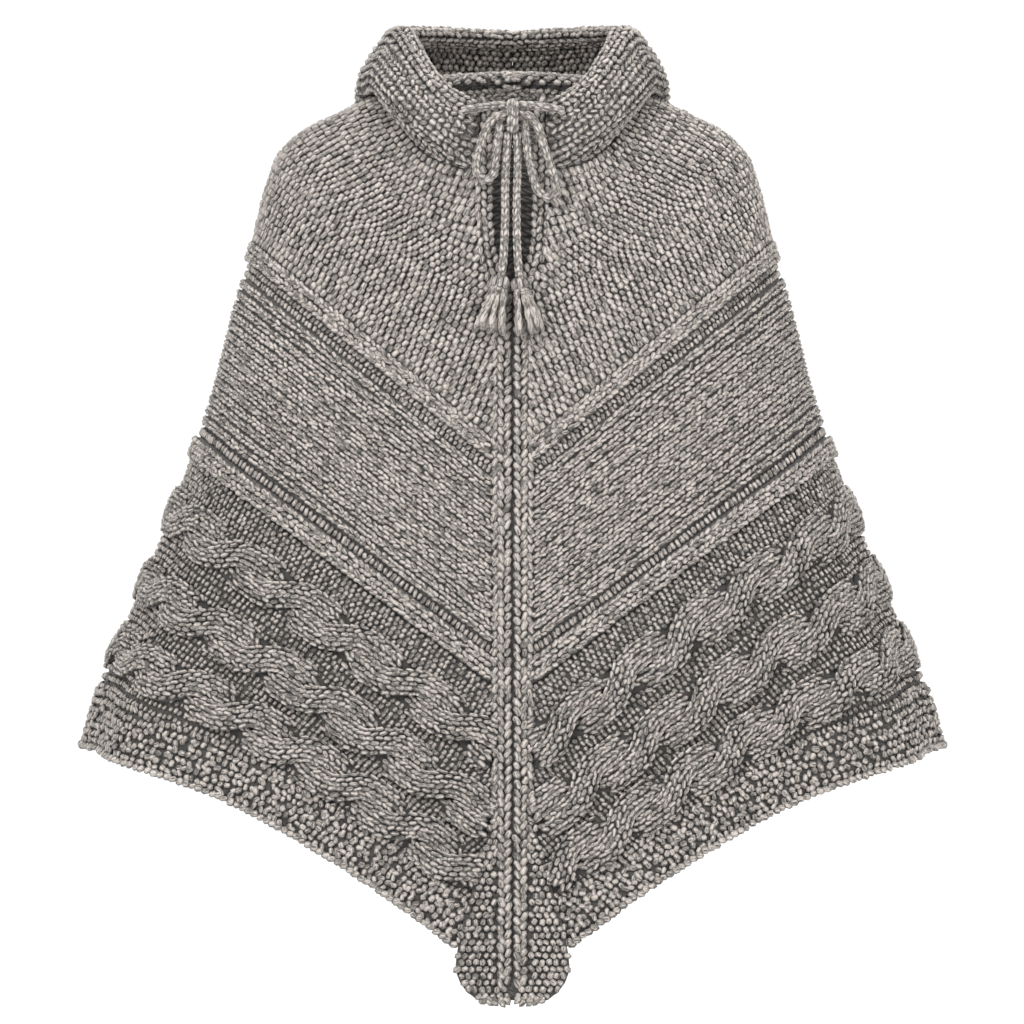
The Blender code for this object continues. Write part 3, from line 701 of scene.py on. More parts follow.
def ring_body(rings):
    """Points and faces of a body through rings of points, with a point in the middle of each end."""
    rows, columns = rings.shape[:2]
    points = np.concatenate([rings.reshape(-1, 3), [rings[0].mean(0)], [rings[-1].mean(0)]])
    quads = grid_quads(rows, columns, wrap=True)
    start, end = rows * columns, rows * columns + 1
    here = np.arange(columns)
    there = (here + 1) % columns
    last = (rows - 1) * columns
    caps = np.concatenate([
        np.stack([np.full(columns, start), here, there], axis=-1),
        np.stack([np.full(columns, end), last + there, last + here], axis=-1),
    ])
    volume = signed_volume(points, quads)
    volume += float(np.sum(points[caps[:, 0]] * np.cross(points[caps[:, 1]], points[caps[:, 2]])))
    if volume < 0:
        quads, caps = quads[:, ::-1], caps[:, ::-1]
    return points, quads, caps


def bodies_mesh(name, bodies, place_step=0.004, lift=0.3):
    """One mesh from several ring bodies."""
    points, corners, sizes, places = [], [], [], []
    count = 0
    for rings in bodies:
        body_points, quads, caps = ring_body(rings)
        corners += [quads.ravel() + count, caps.ravel() + count]
        sizes += [np.full(len(quads), 4), np.full(len(caps), 3)]
        points.append(body_points)
        columns = rings.shape[1]
        row, column_number = np.divmod(np.arange(len(body_points)), columns)
        places.append(np.stack([row * place_step, column_number / columns * 0.02, 0.5 + 0 * row], axis=-1))
        count += len(body_points)
    points = np.concatenate(points)
    return quick_mesh(name, points, np.concatenate(corners), np.concatenate(sizes),
                      {"yarn": np.concatenate(places)}, {"lift": np.full(len(points), lift)})


def clear_of_cables(drop, turn):
    """Which points of a line lie clear of the cables: further than a cable's half width from its line."""
    clear = np.ones(turn.shape, bool)
    for line in CABLES:
        across = (body_point(np.full(turn.shape, drop), turn)
                  - body_point(np.full(turn.shape, LINES[line][0]), turn))
        _, _, _, down = frame_at(np.full(turn.shape, drop), turn, 1)
        clear &= np.abs(np.sum(across * down, axis=-1)) > CABLE_CLEAR
    return clear


# ---- The strips ----

def yoke(side_name):
    side = SIDES[side_name]
    yarn = Stitches(11 + side)
    top, foot = LINES["neck"][0] + 0.0005, LINES["rib_top"][0]
    drops = drops_between(top, foot, 0.0072)
    for number, drop in enumerate(drops):
        near_neck = np.clip((drop - top) / 0.05, 0, 1)
        purl_row(yarn, drop, side, 0.0066, BUMP, math.radians(8 - 10 * near_neck), staggered(number),
                 slant=0.85, gap=drops[1] - drops[0])
    strip_cloth(f"yoke_cloth_{side_name}", side_name, "neck", "rib_top", [f"yoke_{side_name}"])
    yarn.piece(f"yoke_stitches_{side_name}")
    lining = Stitches(15 + side)
    for number, drop in enumerate(top + 0.0064 * np.arange(8)):
        turn = even_turns(drop, 0.0070, staggered(number))
        point, normal, along, down = frame_at(drop, turn[turn > 1.7], side)
        lean = math.radians((24, -24)[number % 2])
        run = along * math.cos(lean) + down * math.sin(lean)
        lining.add(point - normal * (WALL - 0.0012), -normal, run, (0.0094, 0.0054, 0.0042), 9.0)
    lining.piece(f"yoke_lining_stitches_{side_name}", sides=4)


def rib_strip(side_name, kind, first, last, seed):
    """A raised stripe of two plain columns."""
    side = SIDES[side_name]
    yarn = Stitches(seed + side)
    top, foot = LINES[first][0] + 0.0008, LINES[last][0] - 0.0008
    for drop in top + (np.arange(2) + 0.5) * (foot - top) / 2:
        plain_column(yarn, drop, side, wale=(foot - top) * FRONT_SLOPE / 2, leg=(0.0108, 0.0046, 0.0044),
                     tilt=math.radians(17))
    strip_cloth(f"{kind}_cloth_{side_name}", side_name, first, last, [f"{kind}_{side_name}"])
    yarn.piece(f"{kind}_stitches_{side_name}")


def plain_strip(side_name):
    side = SIDES[side_name]
    yarn = Stitches(31 + side)
    for number, drop in enumerate((0.3105, 0.3168)):
        lean = math.radians((-14, 12)[number])
        purl_row(yarn, drop, side, 0.0050, (0.0078, 0.0043, 0.0040), lean, 0.5 * number)
    for drop in drops_between(0.3205, LINES["plain_end"][0], WALE):
        plain_column(yarn, drop, side)
    purl_row(yarn, 0.4805, side, 0.0050, (0.0104, 0.0044, 0.0042), math.radians(8), 0.5)
    strip_cloth(f"plain_cloth_{side_name}", side_name, "rib_end", "low_rib_top", [f"plain_band_{side_name}"])
    yarn.piece(f"plain_stitches_{side_name}")


def cable_strip(side_name):
    side = SIDES[side_name]
    ground, yarn = Stitches(41 + side), Stitches(45 + side)
    for number, drop in enumerate(drops_between(0.5125, LINES["border_top"][0] + 0.002, 0.0052)):
        purl_row(ground, drop, side, 0.0056, FINE_BUMP, math.radians(-14), staggered(number), 14.0,
                 clear_of_cables)
    cores = []
    for line in CABLES:
        cable(yarn, cores, line, side)
    strip_cloth(f"cable_cloth_{side_name}", side_name, "low_rib_end", "border_top",
                [f"cable_panel_{side_name}"])
    ground.piece(f"cable_ground_stitches_{side_name}", sides=4)
    yarn.piece(f"cable_stitches_{side_name}", sides=4)
    name = f"cable_cores_{side_name}"
    # The cores keep lift 0.3, so the wool finish paints them almost wholly in the dark gap colour: painted shade
    # under the strands.
    add_piece(name, bodies_mesh(name, cores), wool("marled_wool_stitches"))


def border_strip(side_name):
    """Seed stitch: bumps that lean one way and the other by turns."""
    side = SIDES[side_name]
    yarn = Stitches(51 + side)
    top, foot = LINES["border_top"][0], LINES["hem"][0]
    count = 7
    for number in range(count):
        drop = top + (number + 0.5) * (foot - top) / count
        lean = math.radians((32, -38)[number % 2])
        purl_row(yarn, drop, side, 0.0064, (0.0090, 0.0052, 0.0046), lean, staggered(number), 27.0)
    point, normal, along, down = frame_at(foot, even_turns(foot, 0.0066, 0.5), side)
    run = along * 0.88 + down * 0.48
    yarn.add(point + down * 0.0026 - normal * 0.0012, normal, run, (0.0100, 0.0066, 0.0056))
    strip_cloth(f"border_cloth_{side_name}", side_name, "border_top", "hem", [f"hem_border_{side_name}"])
    yarn.piece(f"border_stitches_{side_name}")


# ---- Bands at the centre front ----

def tail_half(height):
    """Half width of the raised band, which spreads into the tail and rounds off at its end."""
    round_off = np.clip((height - ROUND_START) / (TAIL_END - ROUND_START), 0, 1)
    return (front_half("band", height) - SEAM / 2) * np.sqrt(1 - TAIL_TIP * round_off**2.2)


def band_frame(x, height, lift):
    """Point and outward direction on the crowned front of the raised band."""
    half = tail_half(height)
    share = np.clip(x / half, -1, 1)
    crown = SPINE_PROUD * (1 - 0.45 * share**2)
    point = np.stack([x, -depth_at("front", height) - crown - lift, height], axis=-1)
    fall = (depth_at("front", height + SMALL) - depth_at("front", height - SMALL)) / (2 * SMALL)
    out = np.stack([1.3 * SPINE_PROUD * share / half, -np.ones_like(x), -fall], axis=-1)
    return point, unit(out)


def upright_legs(yarn, x, heights, way, lift, leg):
    """A line of legs down the band that lean by turns towards their column's middle."""
    point, out = band_frame(np.full(heights.shape, x), heights, lift)
    run = np.array((way * 0.42, 0, -0.91))
    yarn.add(point, out, np.broadcast_to(run, point.shape), leg, 5.0)


SPINE_LEG = (0.0136, 0.0058, 0.0058)
SPINE_LINES = ((-0.0152, -1, -0.0022), (-0.0104, 1, 0.0), (-0.0043, -1, 0.0),
               (0.0043, 1, 0.0), (0.0104, -1, 0.0), (0.0152, 1, -0.0022))  # across, lean, lift


def centre_band():
    """The raised band: two plain columns with a groove between them, and seed stitch in the tail."""
    heights = np.concatenate([np.linspace(SPINE_TOP, SPREAD_START, 40)[:-1],
                              np.linspace(SPREAD_START, TAIL_END, 26)])
    outer = centre_front(heights, tail_half(heights), SPINE_PROUD - 0.0022, 9)
    inner = outer.copy()
    inner[..., 1] = -depth_at("front", heights)[:, None] + WALL
    cloth("front_band_cloth", outer, inner, ["centre_front_band"])
    yarn = Stitches(61)
    steps = np.arange(SPINE_TOP, -0.778, -0.0084)
    for x, way, lift in SPINE_LINES:
        stop = steps > (-0.776 if abs(x) < 0.012 else -0.66)
        upright_legs(yarn, x, steps[stop] - (0.0, 0.0042)[way > 0], way, lift - 0.0016, SPINE_LEG)
    for number, height in enumerate(np.arange(-0.612, TAIL_END - 0.001, -0.0062)):
        half = float(tail_half(np.array(height)))
        inside = 0.0175 if height > -0.778 else 0.005
        x = np.arange(inside, half - 0.0005, 0.0066) + (0.0, 0.0033)[number % 2]
        x = np.concatenate([-x, x])
        x = x[np.abs(x) < half + 0.001]
        point, out = band_frame(x, np.full(x.shape, height), -0.0014)
        lean = np.radians((30, -34)[number % 2]) * np.sign(x) + 0.5 * x / half
        run = np.stack([np.sin(lean), np.zeros_like(x), -np.cos(lean)], axis=-1)
        yarn.add(point, out, run, (0.0086, 0.0054, 0.0048), 16.0)
    x = np.arange(0.0045, 0.0300, 0.0058)
    for row, reach in ((0.0012, 0.0020), (0.0018, 0.0058)):
        across = np.concatenate([-x, x]) * (1 - 8 * row)
        point, out = band_frame(across, np.full(across.shape, TAIL_END + 0.001), -0.0014)
        point[:, 2] -= reach * np.sqrt(np.clip(1 - ((np.abs(across) - 0.0165) / 0.0165) ** 2, 0.05, 1)) - row
        run = np.stack([np.ones_like(across), 0 * across, 0.8 * np.sign(across) - 40 * (np.abs(across) - 0.0165)
                        * np.sign(across)], axis=-1)
        yarn.add(point, out, run, (0.0088, 0.0056, 0.0050), 14.0)
    yarn.piece("front_band_stitches")


def edge_band(side_name):
    """The band along one edge of the neck slit: a plain column and a line of edge legs."""
    side = SIDES[side_name]
    heights = np.linspace(EDGE_TOP, SPINE_TOP + SEAM, 24)
    shares = np.linspace(0, 1, 6)
    outer = edge_point(heights[:, None], shares[None], -0.0016)
    inner = outer.copy()
    inner[..., 1] = edge_point(heights[:, None], shares[None], -WALL - EDGE_PROUD)[..., 1]
    mirror = np.array((side, 1, 1))
    cloth(f"slit_band_cloth_{side_name}", outer * mirror, inner * mirror, [f"slit_band_{side_name}"])
    yarn = Stitches(71 + side)
    steps = np.arange(EDGE_TOP + 0.002, SPINE_TOP, -0.0080)
    for share, way, lift in ((0.16, 1, -0.0008), (0.50, -1, 0.0), (0.86, 1, -0.0008)):
        at = steps - (0.0, 0.0040)[way > 0]
        point = edge_point(at, np.full(at.shape, share), lift - 0.0010)
        ahead = edge_point(at - SMALL, np.full(at.shape, share), lift - 0.0010)
        run = unit(ahead - point) + np.array((way * 0.36, 0, 0))
        out = np.broadcast_to(unit(np.array((1.1 * (share - 0.5), -1.0, 0))), point.shape)
        yarn.add(point * mirror, out * mirror, run * mirror, (0.0118, 0.0054, 0.0050), 6.0)
    yarn.piece(f"slit_band_stitches_{side_name}")


def edge_point(height, share, lift):
    """Point of the slit's edge band, between the slit's edge and the panel's."""
    height, share = np.broadcast_arrays(height, share)
    near, far = front_half("slit", height) + SEAM / 2, front_half("band", height) - SEAM / 2
    collar = np.clip((height - EDGE_TOP / 2) / (EDGE_TOP / 2), 0, 1)
    crown = EDGE_PROUD * (1 - 0.5 * (2 * share - 1) ** 2)
    y = EDGE_SETBACK * collar - depth_at("front", height) - crown - lift
    return np.stack([near + (far - near) * share, y, height], axis=-1)


# ---- The hood ----

class HoodForm:
    """Half the hood as a fine grid: points, outward directions and distance along each profile."""

    def __init__(self):
        self.points = hood_profiles(np.linspace(0, BACK, 121))
        normals = grid_normal(self.points)
        normals[-1, :, 0] = 0
        self.normals = unit(normals)
        self.travelled = distances(self.points, 1)
        self.both = np.concatenate([self.points, self.normals], axis=-1)

    def row(self, from_edge, side):
        """Points and directions at one distance back from the face edge, where the hood is that deep."""
        at = self.travelled[:, -1] - from_edge
        keep = np.flatnonzero(at > min(0.004, np.sort(at)[-3] - 0.001))
        row = np.array([[np.interp(at[k], self.travelled[k], values) for values in self.both[k].T] for k in keep])
        mirror = np.array((side, 1, 1))
        return row[:, :3] * mirror, unit(row[:, 3:]) * mirror

    def even(self, from_edge, side, step, shift):
        """Points at even steps along such a row, with their outward and lengthwise directions."""
        points, normals = self.row(from_edge, side)
        reach = distances(points, 0)
        count = max(2, int(reach[-1] / step))
        at = (np.arange(count) + shift) * reach[-1] / count
        place = np.stack([np.interp(at, reach, values) for values in points.T], axis=-1)
        out = unit(np.stack([np.interp(at, reach, values) for values in normals.T], axis=-1))
        ahead = np.stack([np.interp(at + 0.001, reach, values) for values in points.T], axis=-1)
        behind = np.stack([np.interp(at - 0.001, reach, values) for values in points.T], axis=-1)
        return place, out, unit(ahead - behind)

    def grid(self, first, last, rows, columns):
        """Points and directions between two distances; one that isn't above zero is from the face edge."""
        shares = np.linspace(0, 1, rows + 1)
        grid = []
        for k in np.linspace(0, len(self.points) - 1, columns + 1).round().astype(int):
            total = self.travelled[k, -1]
            start = first if first >= 0 else total + first
            wanted = start + (total + last - start) * shares
            grid.append(np.stack([np.interp(wanted, self.travelled[k], v) for v in self.both[k].T], axis=-1))
        grid = np.array(grid)
        return grid[..., :3], unit(grid[..., 3:])


def hood_half(form, side_name):
    side = SIDES[side_name]
    points, normals = form.grid(0.0, -CASING_WIDTH - SEAM, 44, 60)
    mirror = np.array((side, 1, 1))
    points, normals = points * mirror, normals * mirror
    neck_line = float(distances(points[:, 0], 0)[-1])
    cloth(f"hood_cloth_{side_name}", points + normals * 0.0012, points - normals * 0.0012,
          [f"hood_{side_name}"], width=neck_line)
    yarn, lining = Stitches(81 + side), Stitches(85 + side)
    deepest = float(form.travelled[:, -1].max())
    for number, back in enumerate(np.arange(CASING_WIDTH + 0.0035, deepest - 0.008, 0.0070)):
        place, out, along = form.even(back, side, 0.0068, staggered(number))
        lean = math.radians(62)
        run = along * math.cos(lean) + np.cross(out, along) * side * math.sin(lean)
        yarn.add(place + out * 0.0010, out, run, BUMP, 14.0)
        lean = math.radians((24, -24)[number % 2])
        run = along * math.cos(lean) + np.cross(out, along) * side * math.sin(lean)
        lining.add(place - out * 0.0010, -out, run, (0.0100, 0.0054, 0.0042), 9.0)
    yarn.piece(f"hood_stitches_{side_name}")
    lining.piece(f"hood_lining_stitches_{side_name}", sides=4)


# Lines of legs round the casing: distance from the face edge, side of the cloth and lean.
CASING_LINES = ((0.0165, 1, 1), (0.0118, 1, -1), (0.0068, 1, 1), (0.0022, 1, -1),
                (0.0165, -1, 1), (0.0118, -1, -1), (0.0068, -1, 1), (0.0022, -1, -1))


def casing(form):
    """The doubled band round the face edge, as plain columns that run along it."""
    half_points, half_normals = form.grid(-CASING_WIDTH + 2 * SEAM, 0.0, 6, 60)
    half_points[-1, :, 0] = 0
    mirror = np.array((-1, 1, 1))
    points = np.concatenate([half_points, half_points[::-1][1:] * mirror])
    normals = np.concatenate([half_normals, half_normals[::-1][1:] * mirror])
    swell = np.interp(np.linspace(0, 1, 7), np.linspace(0, 1, 4), CASING_SWELL)[None, :, None]
    thick = normals * swell * (CASING_WALL / 2 - 0.0012)
    cloth("casing_cloth", points + thick, points - thick, ["hood_casing"])
    yarn = Stitches(91)
    for side in SIDES.values():
        for back, face, way in CASING_LINES:
            place, out, along = form.even(back, side, 0.0072, (0.3, 0.8)[way > 0])
            share = np.interp(back / CASING_WIDTH, (0, 1 / 3, 2 / 3, 1), CASING_SWELL[::-1])
            up = np.cross(along, out) * side
            edge = np.clip(1 - back / 0.006, 0, 1)
            turned = unit(out * face * (1 - edge) + up * 0.9 * edge + out * face * 0.35)
            run = along * math.cos(LEG_TILT) + way * up * math.sin(LEG_TILT)
            yarn.add(place + out * face * (share * CASING_WALL / 2 - 0.0014), turned, run,
                     (0.0104, 0.0050, 0.0042), 8.0)
        place, out, along = form.even(0.0, side, 0.0072, 0.5)
        up = np.cross(along, out) * side
        yarn.add(place - up * 0.0010, up, along, (0.0104, 0.0056, 0.0040), 8.0)
    yarn.piece("casing_stitches")


# ---- The drawstring ----

CORD_LINES = 6  # lines of legs round the cord
CORD_STITCH = 0.0072
CORD_DEPTH = 0.25  # how deep the gaps between its stitches are, as a share of its radius
RING_STEP = 0.0011
RING_SIDES = 24
# The stretch inside the knot, between the end of each run and the start of the loop beyond it.
KNOT_STRETCH = ((0.0030, -0.1052, 0.0392), (-0.0030, -0.1066, 0.0338))
KNOT_WRAP = ((0.0000, -0.1010, 0.0380), (0.0000, -0.1075, 0.0418), (0.0002, -0.1122, 0.0375),
             (0.0004, -0.1136, 0.0290), (0.0002, -0.1122, 0.0215), (0.0000, -0.1070, 0.0190),
             (0.0000, -0.1010, 0.0215))


def carried(points):
    """Two directions square to a path at each of its points, turned along it without twisting."""
    tangent = unit(np.gradient(points, axis=0))
    first = np.cross(tangent[0], (0.0, 0.3, 1.0))
    across = [first / np.linalg.norm(first)]
    for heading in tangent[1:]:
        next_one = across[-1] - np.dot(across[-1], heading) * heading
        across.append(next_one / np.linalg.norm(next_one))
    across = np.array(across)
    return across, np.cross(tangent, across)


def knitted_tube(name, route, radius):
    """A knitted cord: a tube whose radius swells in lines of leaning stitches and dips between them."""
    length = float(distances(smooth_route(route, 400), 0)[-1])
    points = smooth_route(route, round(length / RING_STEP))
    across, over = carried(points)
    along = distances(points, 0)[:, None]
    angle = 2 * np.pi * np.arange(RING_SIDES)[None] / RING_SIDES
    line = angle * CORD_LINES / (2 * np.pi)
    way = np.where(np.floor(line) % 2 == 0, 1.0, -1.0)
    stitch = along / CORD_STITCH + way * (line % 1 - 0.5) * 0.55
    swell = (np.abs(np.sin(np.pi * stitch)) * np.abs(np.sin(np.pi * (line % 1 * 0.86 + 0.07)))) ** 0.5
    size = radius * (1 - CORD_DEPTH + CORD_DEPTH * 1.25 * swell)
    ends = np.clip(np.minimum(along, along[-1] - along) / radius, 0, 1)
    size = size * np.sqrt(1 - (1 - ends) ** 2 * 0.7)
    rings = (points[:, None] + (size * np.cos(angle))[..., None] * across[:, None]
             + (size * np.sin(angle))[..., None] * over[:, None])
    body, quads, caps = ring_body(rings)
    number = 0.5 + 0.3 * np.sin(3 * np.floor(stitch))
    place = np.stack([along + 0 * angle, angle * radius + 0 * along, number], axis=-1)
    place = np.concatenate([place.reshape(-1, 3), place[0, :1], place[-1, :1]])
    # Lift follows the swell, so the wool finish paints shade in the dips between the cord's stitches.
    lift = np.concatenate([swell.ravel(), [0.3, 0.3]])
    corners = np.concatenate([quads.ravel(), caps.ravel()])
    sizes = np.concatenate([np.full(len(quads), 4), np.full(len(caps), 3)])
    mesh = quick_mesh(name, body, corners, sizes, {"yarn": place}, {"lift": 0.25 + 0.75 * lift})
    return add_piece(name, mesh, wool("marled_wool_cord")), points, length


def drawstring(settings):
    """Each end of the cord leaves the casing, passes through the knot and makes the loop beyond it.
    The tails leave the knot below."""
    radius = settings.cord_diameter / 2
    knot = knitted_tube("bow_knot_wrap", KNOT_WRAP, 0.0058)[0]
    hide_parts("bow_knot")
    for side_name, side in SIDES.items():
        other = "left" if side_name == "right" else "right"
        stretch = [(side * x, y, z) for x, y, z in KNOT_STRETCH]
        route = [*RUNS[side_name], *stretch, *LOOPS[other]]
        bow, path, length = knitted_tube(f"bow_cord_{side_name}", route, radius)
        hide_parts(f"cord_run_{side_name}", f"cord_loop_{other}")
        fringe = tassel(side_name)
        tail, path, length = knitted_tube(f"tail_cord_{side_name}", TAILS[side_name], radius)
        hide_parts(f"cord_tail_{side_name}")


STRANDS = 10
STRAND_RADIUS = 0.0025
TASSEL_TOP = 0.010  # where the strands leave the tassel's head
TASSEL_LONG = 0.055


def tassel(side_name):
    """A tassel: strands that leave a round head and fan out, each a twisted two-ply yarn."""
    down = unit(np.array((*TASSEL_LEAN[side_name], -1.0)))
    top = np.array(TAILS[side_name][-1])
    across = unit(np.cross(down, (0.0, 1.0, 0.0)))
    over = np.cross(down, across)
    random = np.random.default_rng(101 + SIDES[side_name])
    bodies = []
    for number in range(STRANDS):
        turn = 2 * np.pi * (number + 0.3 * random.random()) / (STRANDS - 1)
        spread = (random.uniform(0.0100, 0.0142), 0.002)[number == STRANDS - 1]
        reach = np.linspace(0, 1, 16)
        out = 0.0042 + (spread - 0.0042) * reach**0.8 + 0.0008 * np.sin(5 * reach + 6 * random.random())
        swirl = turn + 0.35 * (random.random() - 0.5) * reach
        along = TASSEL_TOP + (TASSEL_LONG * random.uniform(0.93, 1.02) - TASSEL_TOP) * reach
        path = (top + along[:, None] * down + (out * np.cos(swirl))[:, None] * across
                + (out * np.sin(swirl))[:, None] * over)
        side_way, other_way = carried(path)
        angle = 2 * np.pi * np.arange(10) / 10
        ply = 1 + 0.20 * np.cos(2 * (angle[None] + 9 * reach[:, None]))
        size = STRAND_RADIUS * ply * (np.clip(1.06 - reach[:, None] ** 8 * 0.5, 0, 1))
        bodies.append(path[:, None] + (size * np.cos(angle))[..., None] * side_way[:, None]
                      + (size * np.sin(angle))[..., None] * other_way[:, None])
    head = np.array([(0.000, 0.0036), (0.003, 0.0056), (0.007, 0.0064), (0.012, 0.0058), (0.016, 0.0040)])
    angle = 2 * np.pi * np.arange(16) / 16
    ring = np.cos(angle)[:, None] * across + np.sin(angle)[:, None] * over
    bodies.append(top + head[:, :1, None] * down + head[:, 1:, None] * ring[None])
    name = f"tassel_strands_{side_name}"
    piece = add_piece(name, bodies_mesh(name, bodies, place_step=0.003, lift=0.8),
                      wool("marled_wool_cord"))
    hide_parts(f"tassel_{side_name}")
    yarn = Stitches(111 + SIDES[side_name])
    angle = 2 * np.pi * np.arange(8) / 8
    ring = np.cos(angle)[:, None] * across + np.sin(angle)[:, None] * over
    yarn.add(top + 0.0070 * down + 0.0052 * ring, ring, np.broadcast_to(down, ring.shape),
             (0.0150, 0.0058, 0.0040), 4.0)
    wraps = np.concatenate([top + along * down + 0.0052 * ring for along in (0.0135, 0.0160)])
    out = np.concatenate([ring, ring])
    yarn.add(wraps, out, np.cross(out, down), (0.0062, 0.0032, 0.0030), 3.0)
    yarn.piece(f"tassel_head_{side_name}", slot="cord")
    return piece


# ---- Materials ----

class Value:
    """A socket whose arithmetic adds Math nodes to its tree."""

    def __init__(self, tree, socket):
        self.tree = tree
        self.socket = socket

    def maths(self, operation, first, second):
        made = self.tree.nodes.new("ShaderNodeMath")
        made.operation = operation
        for socket, value in zip(made.inputs, (first, second)):
            connect(self.tree, value, socket)
        return Value(self.tree, made.outputs[0])

    def __add__(self, other):
        return self.maths("ADD", self, other)

    __radd__ = __add__

    def __sub__(self, other):
        return self.maths("SUBTRACT", self, other)

    def __rsub__(self, other):
        return self.maths("SUBTRACT", other, self)

    def __mul__(self, other):
        return self.maths("MULTIPLY", self, other)

    __rmul__ = __mul__

    def clamped(self):
        made = self.maths("MULTIPLY", self, 1.0)
        made.socket.node.use_clamp = True
        return made


def connect(tree, value, socket):
    if isinstance(value, Value):
        tree.links.new(value.socket, socket)
    else:
        socket.default_value = value


class Finish:
    """A Principled material under construction."""

    def __init__(self, name, **constants):
        self.material = bpy.data.materials.new(name)
        self.material.use_nodes = True
        self.tree = self.material.node_tree
        self.shader = self.tree.nodes["Principled BSDF"]
        for key, value in constants.items():
            self.shader.inputs[key.replace("_", " ")].default_value = value

    def node(self, kind, settings, sockets, output=0):
        """Any node: its settings first, then the values or links of its sockets by identifier."""
        made = self.tree.nodes.new(kind)
        for key, value in settings.items():
            setattr(made, key, value)
        for key, value in sockets.items():
            found = [s for s in made.inputs if s.identifier == key] or [made.inputs[key]]
            connect(self.tree, value, found[0])
        outputs = [s for s in made.outputs if s.identifier == output]
        return Value(self.tree, outputs[0] if outputs else made.outputs[output])

    def noise(self, x, y, z, detail=2.0):
        place = self.node("ShaderNodeCombineXYZ", {}, {"X": x, "Y": y, "Z": z})
        return self.node("ShaderNodeTexNoise", {}, {"Vector": place, "Scale": 1.0, "Detail": detail})

    def mix(self, factor, first, second):
        return self.node("ShaderNodeMix", {"data_type": "RGBA"},
                         {"Factor_Float": factor, "A_Color": first, "B_Color": second}, "Result_Color")

    def paint(self, colour, height, strength, distance):
        connect(self.tree, colour, self.shader.inputs["Base Color"])
        bump = self.node("ShaderNodeBump", {}, {"Height": height, "Strength": strength, "Distance": distance})
        connect(self.tree, bump, self.shader.inputs["Normal"])
        return self.material


def marled(name, roughness):
    """A wool finish under construction, its settings and the three parts of the yarn attribute."""
    settings = bpy.context.scene.poncho
    made = Finish(name, Roughness=roughness, Sheen_Weight=settings.fuzz, Sheen_Roughness=0.5)
    place = made.node("ShaderNodeAttribute", {"attribute_name": "yarn"}, {}, "Vector")
    parts = made.node("ShaderNodeSeparateXYZ", {}, {"Vector": place}, "X").socket.node
    return made, settings, [Value(made.tree, parts.outputs[k]) for k in range(3)]


def wool(name):
    """Marled wool: two plies, one light and one dark, twisted round each other, with short flecks.
    The yarn attribute holds metres along and round the yarn and each grain's own number; lift is 0
    in the gaps between stitches and 1 on their crowns, and the dark gap colour is mixed in by it as
    painted shade on the low flanks and ends of each grain."""
    found = bpy.data.materials.get(name)
    if found:
        return found
    made, settings, (x, y, z) = marled(name, 0.92)
    lift = made.node("ShaderNodeAttribute", {"attribute_name": "lift"}, {}, "Fac")
    ply = made.noise(x * 130 + y * 160, y * 430 - x * 130, z * 41, 1.0)
    fleck = made.noise(x * 420, y * 800, z * 67)
    marl = ((ply - 0.5) * 4.4 + (fleck - 0.5) * 2.0 + (z - 0.5) * 0.5 + 0.56).clamped()
    light = made.mix(made.noise(z * 300, 0.0, 0.0, 0.0), tuple(settings.light), tuple(settings.warm))
    colour = made.mix(marl, tuple(settings.dark), light)
    # Painted shade: where lift is low, on a grain's flanks and ends and in the gaps, the colour is mixed towards
    # the dark gap colour.
    shown = ((lift - 0.28) * 1.7).clamped()
    colour = made.mix(shown, tuple(settings.gap), colour)
    return made.paint(colour, ply * 0.6 + fleck * 0.4, 0.55, settings.fibre_depth)


def ground_wool():
    """The cloth between and behind the stitches: rows of bumps drawn from the place along and down
    the strip, painted dark with shade outside, where it shows only in gaps, and inside as light as the
    stitches on the bumps, with painted shade between them."""
    name = "marled_wool_ground"
    found = bpy.data.materials.get(name)
    if found:
        return found
    made, settings, (x, y, inside) = marled(name, 0.95)
    row = y * (1 / WALE)
    stagger = made.node("ShaderNodeMath", {"operation": "FLOOR"}, {"Value": row}) * 0.5
    across = (row * math.pi).maths("SINE", row * math.pi, 0.0)
    step = (x * (1 / STITCH) + stagger) * math.pi
    along = step.maths("SINE", step, 0.0)
    bumps = (across * along).maths("ABSOLUTE", across * along, 0.0)
    fleck = made.noise(x * 420, y * 900, 0.3)
    wide = made.noise(x * 90, y * 120, 0.7)
    marl = ((fleck - 0.5) * 2.4 + (wide - 0.5) * 1.2 + 0.5).clamped()
    colour = made.mix(marl, tuple(settings.dark), tuple(settings.light))
    # Painted shade: the outer face is mixed mostly to the dark gap colour, and the inner face darkens between its
    # drawn bumps.
    shown = (inside * (bumps * 0.9 + 0.10) + (1 - inside) * 0.16).clamped()
    colour = made.mix(shown, tuple(settings.gap), colour)
    return made.paint(colour, bumps * 0.8 + fleck * 0.2, 0.8, 0.0022)


# ---- Stage ----

CAMERA_FAR = 20.0
FRAME_WIDE = 0.955  # width of the view at the garment
VIEW_MIDDLE = (-0.0005, -0.3385)
VIEW_PLANE = -0.07  # how far forward the garment's width is judged
SENSOR = 36.0
ROOM_HALF, ROOM_FRONT, WALL_Y, WALL_TURN, WALL_HIGH = 7.0, -7.0, 4.2, 1.6, 6.0  # the studio's paper


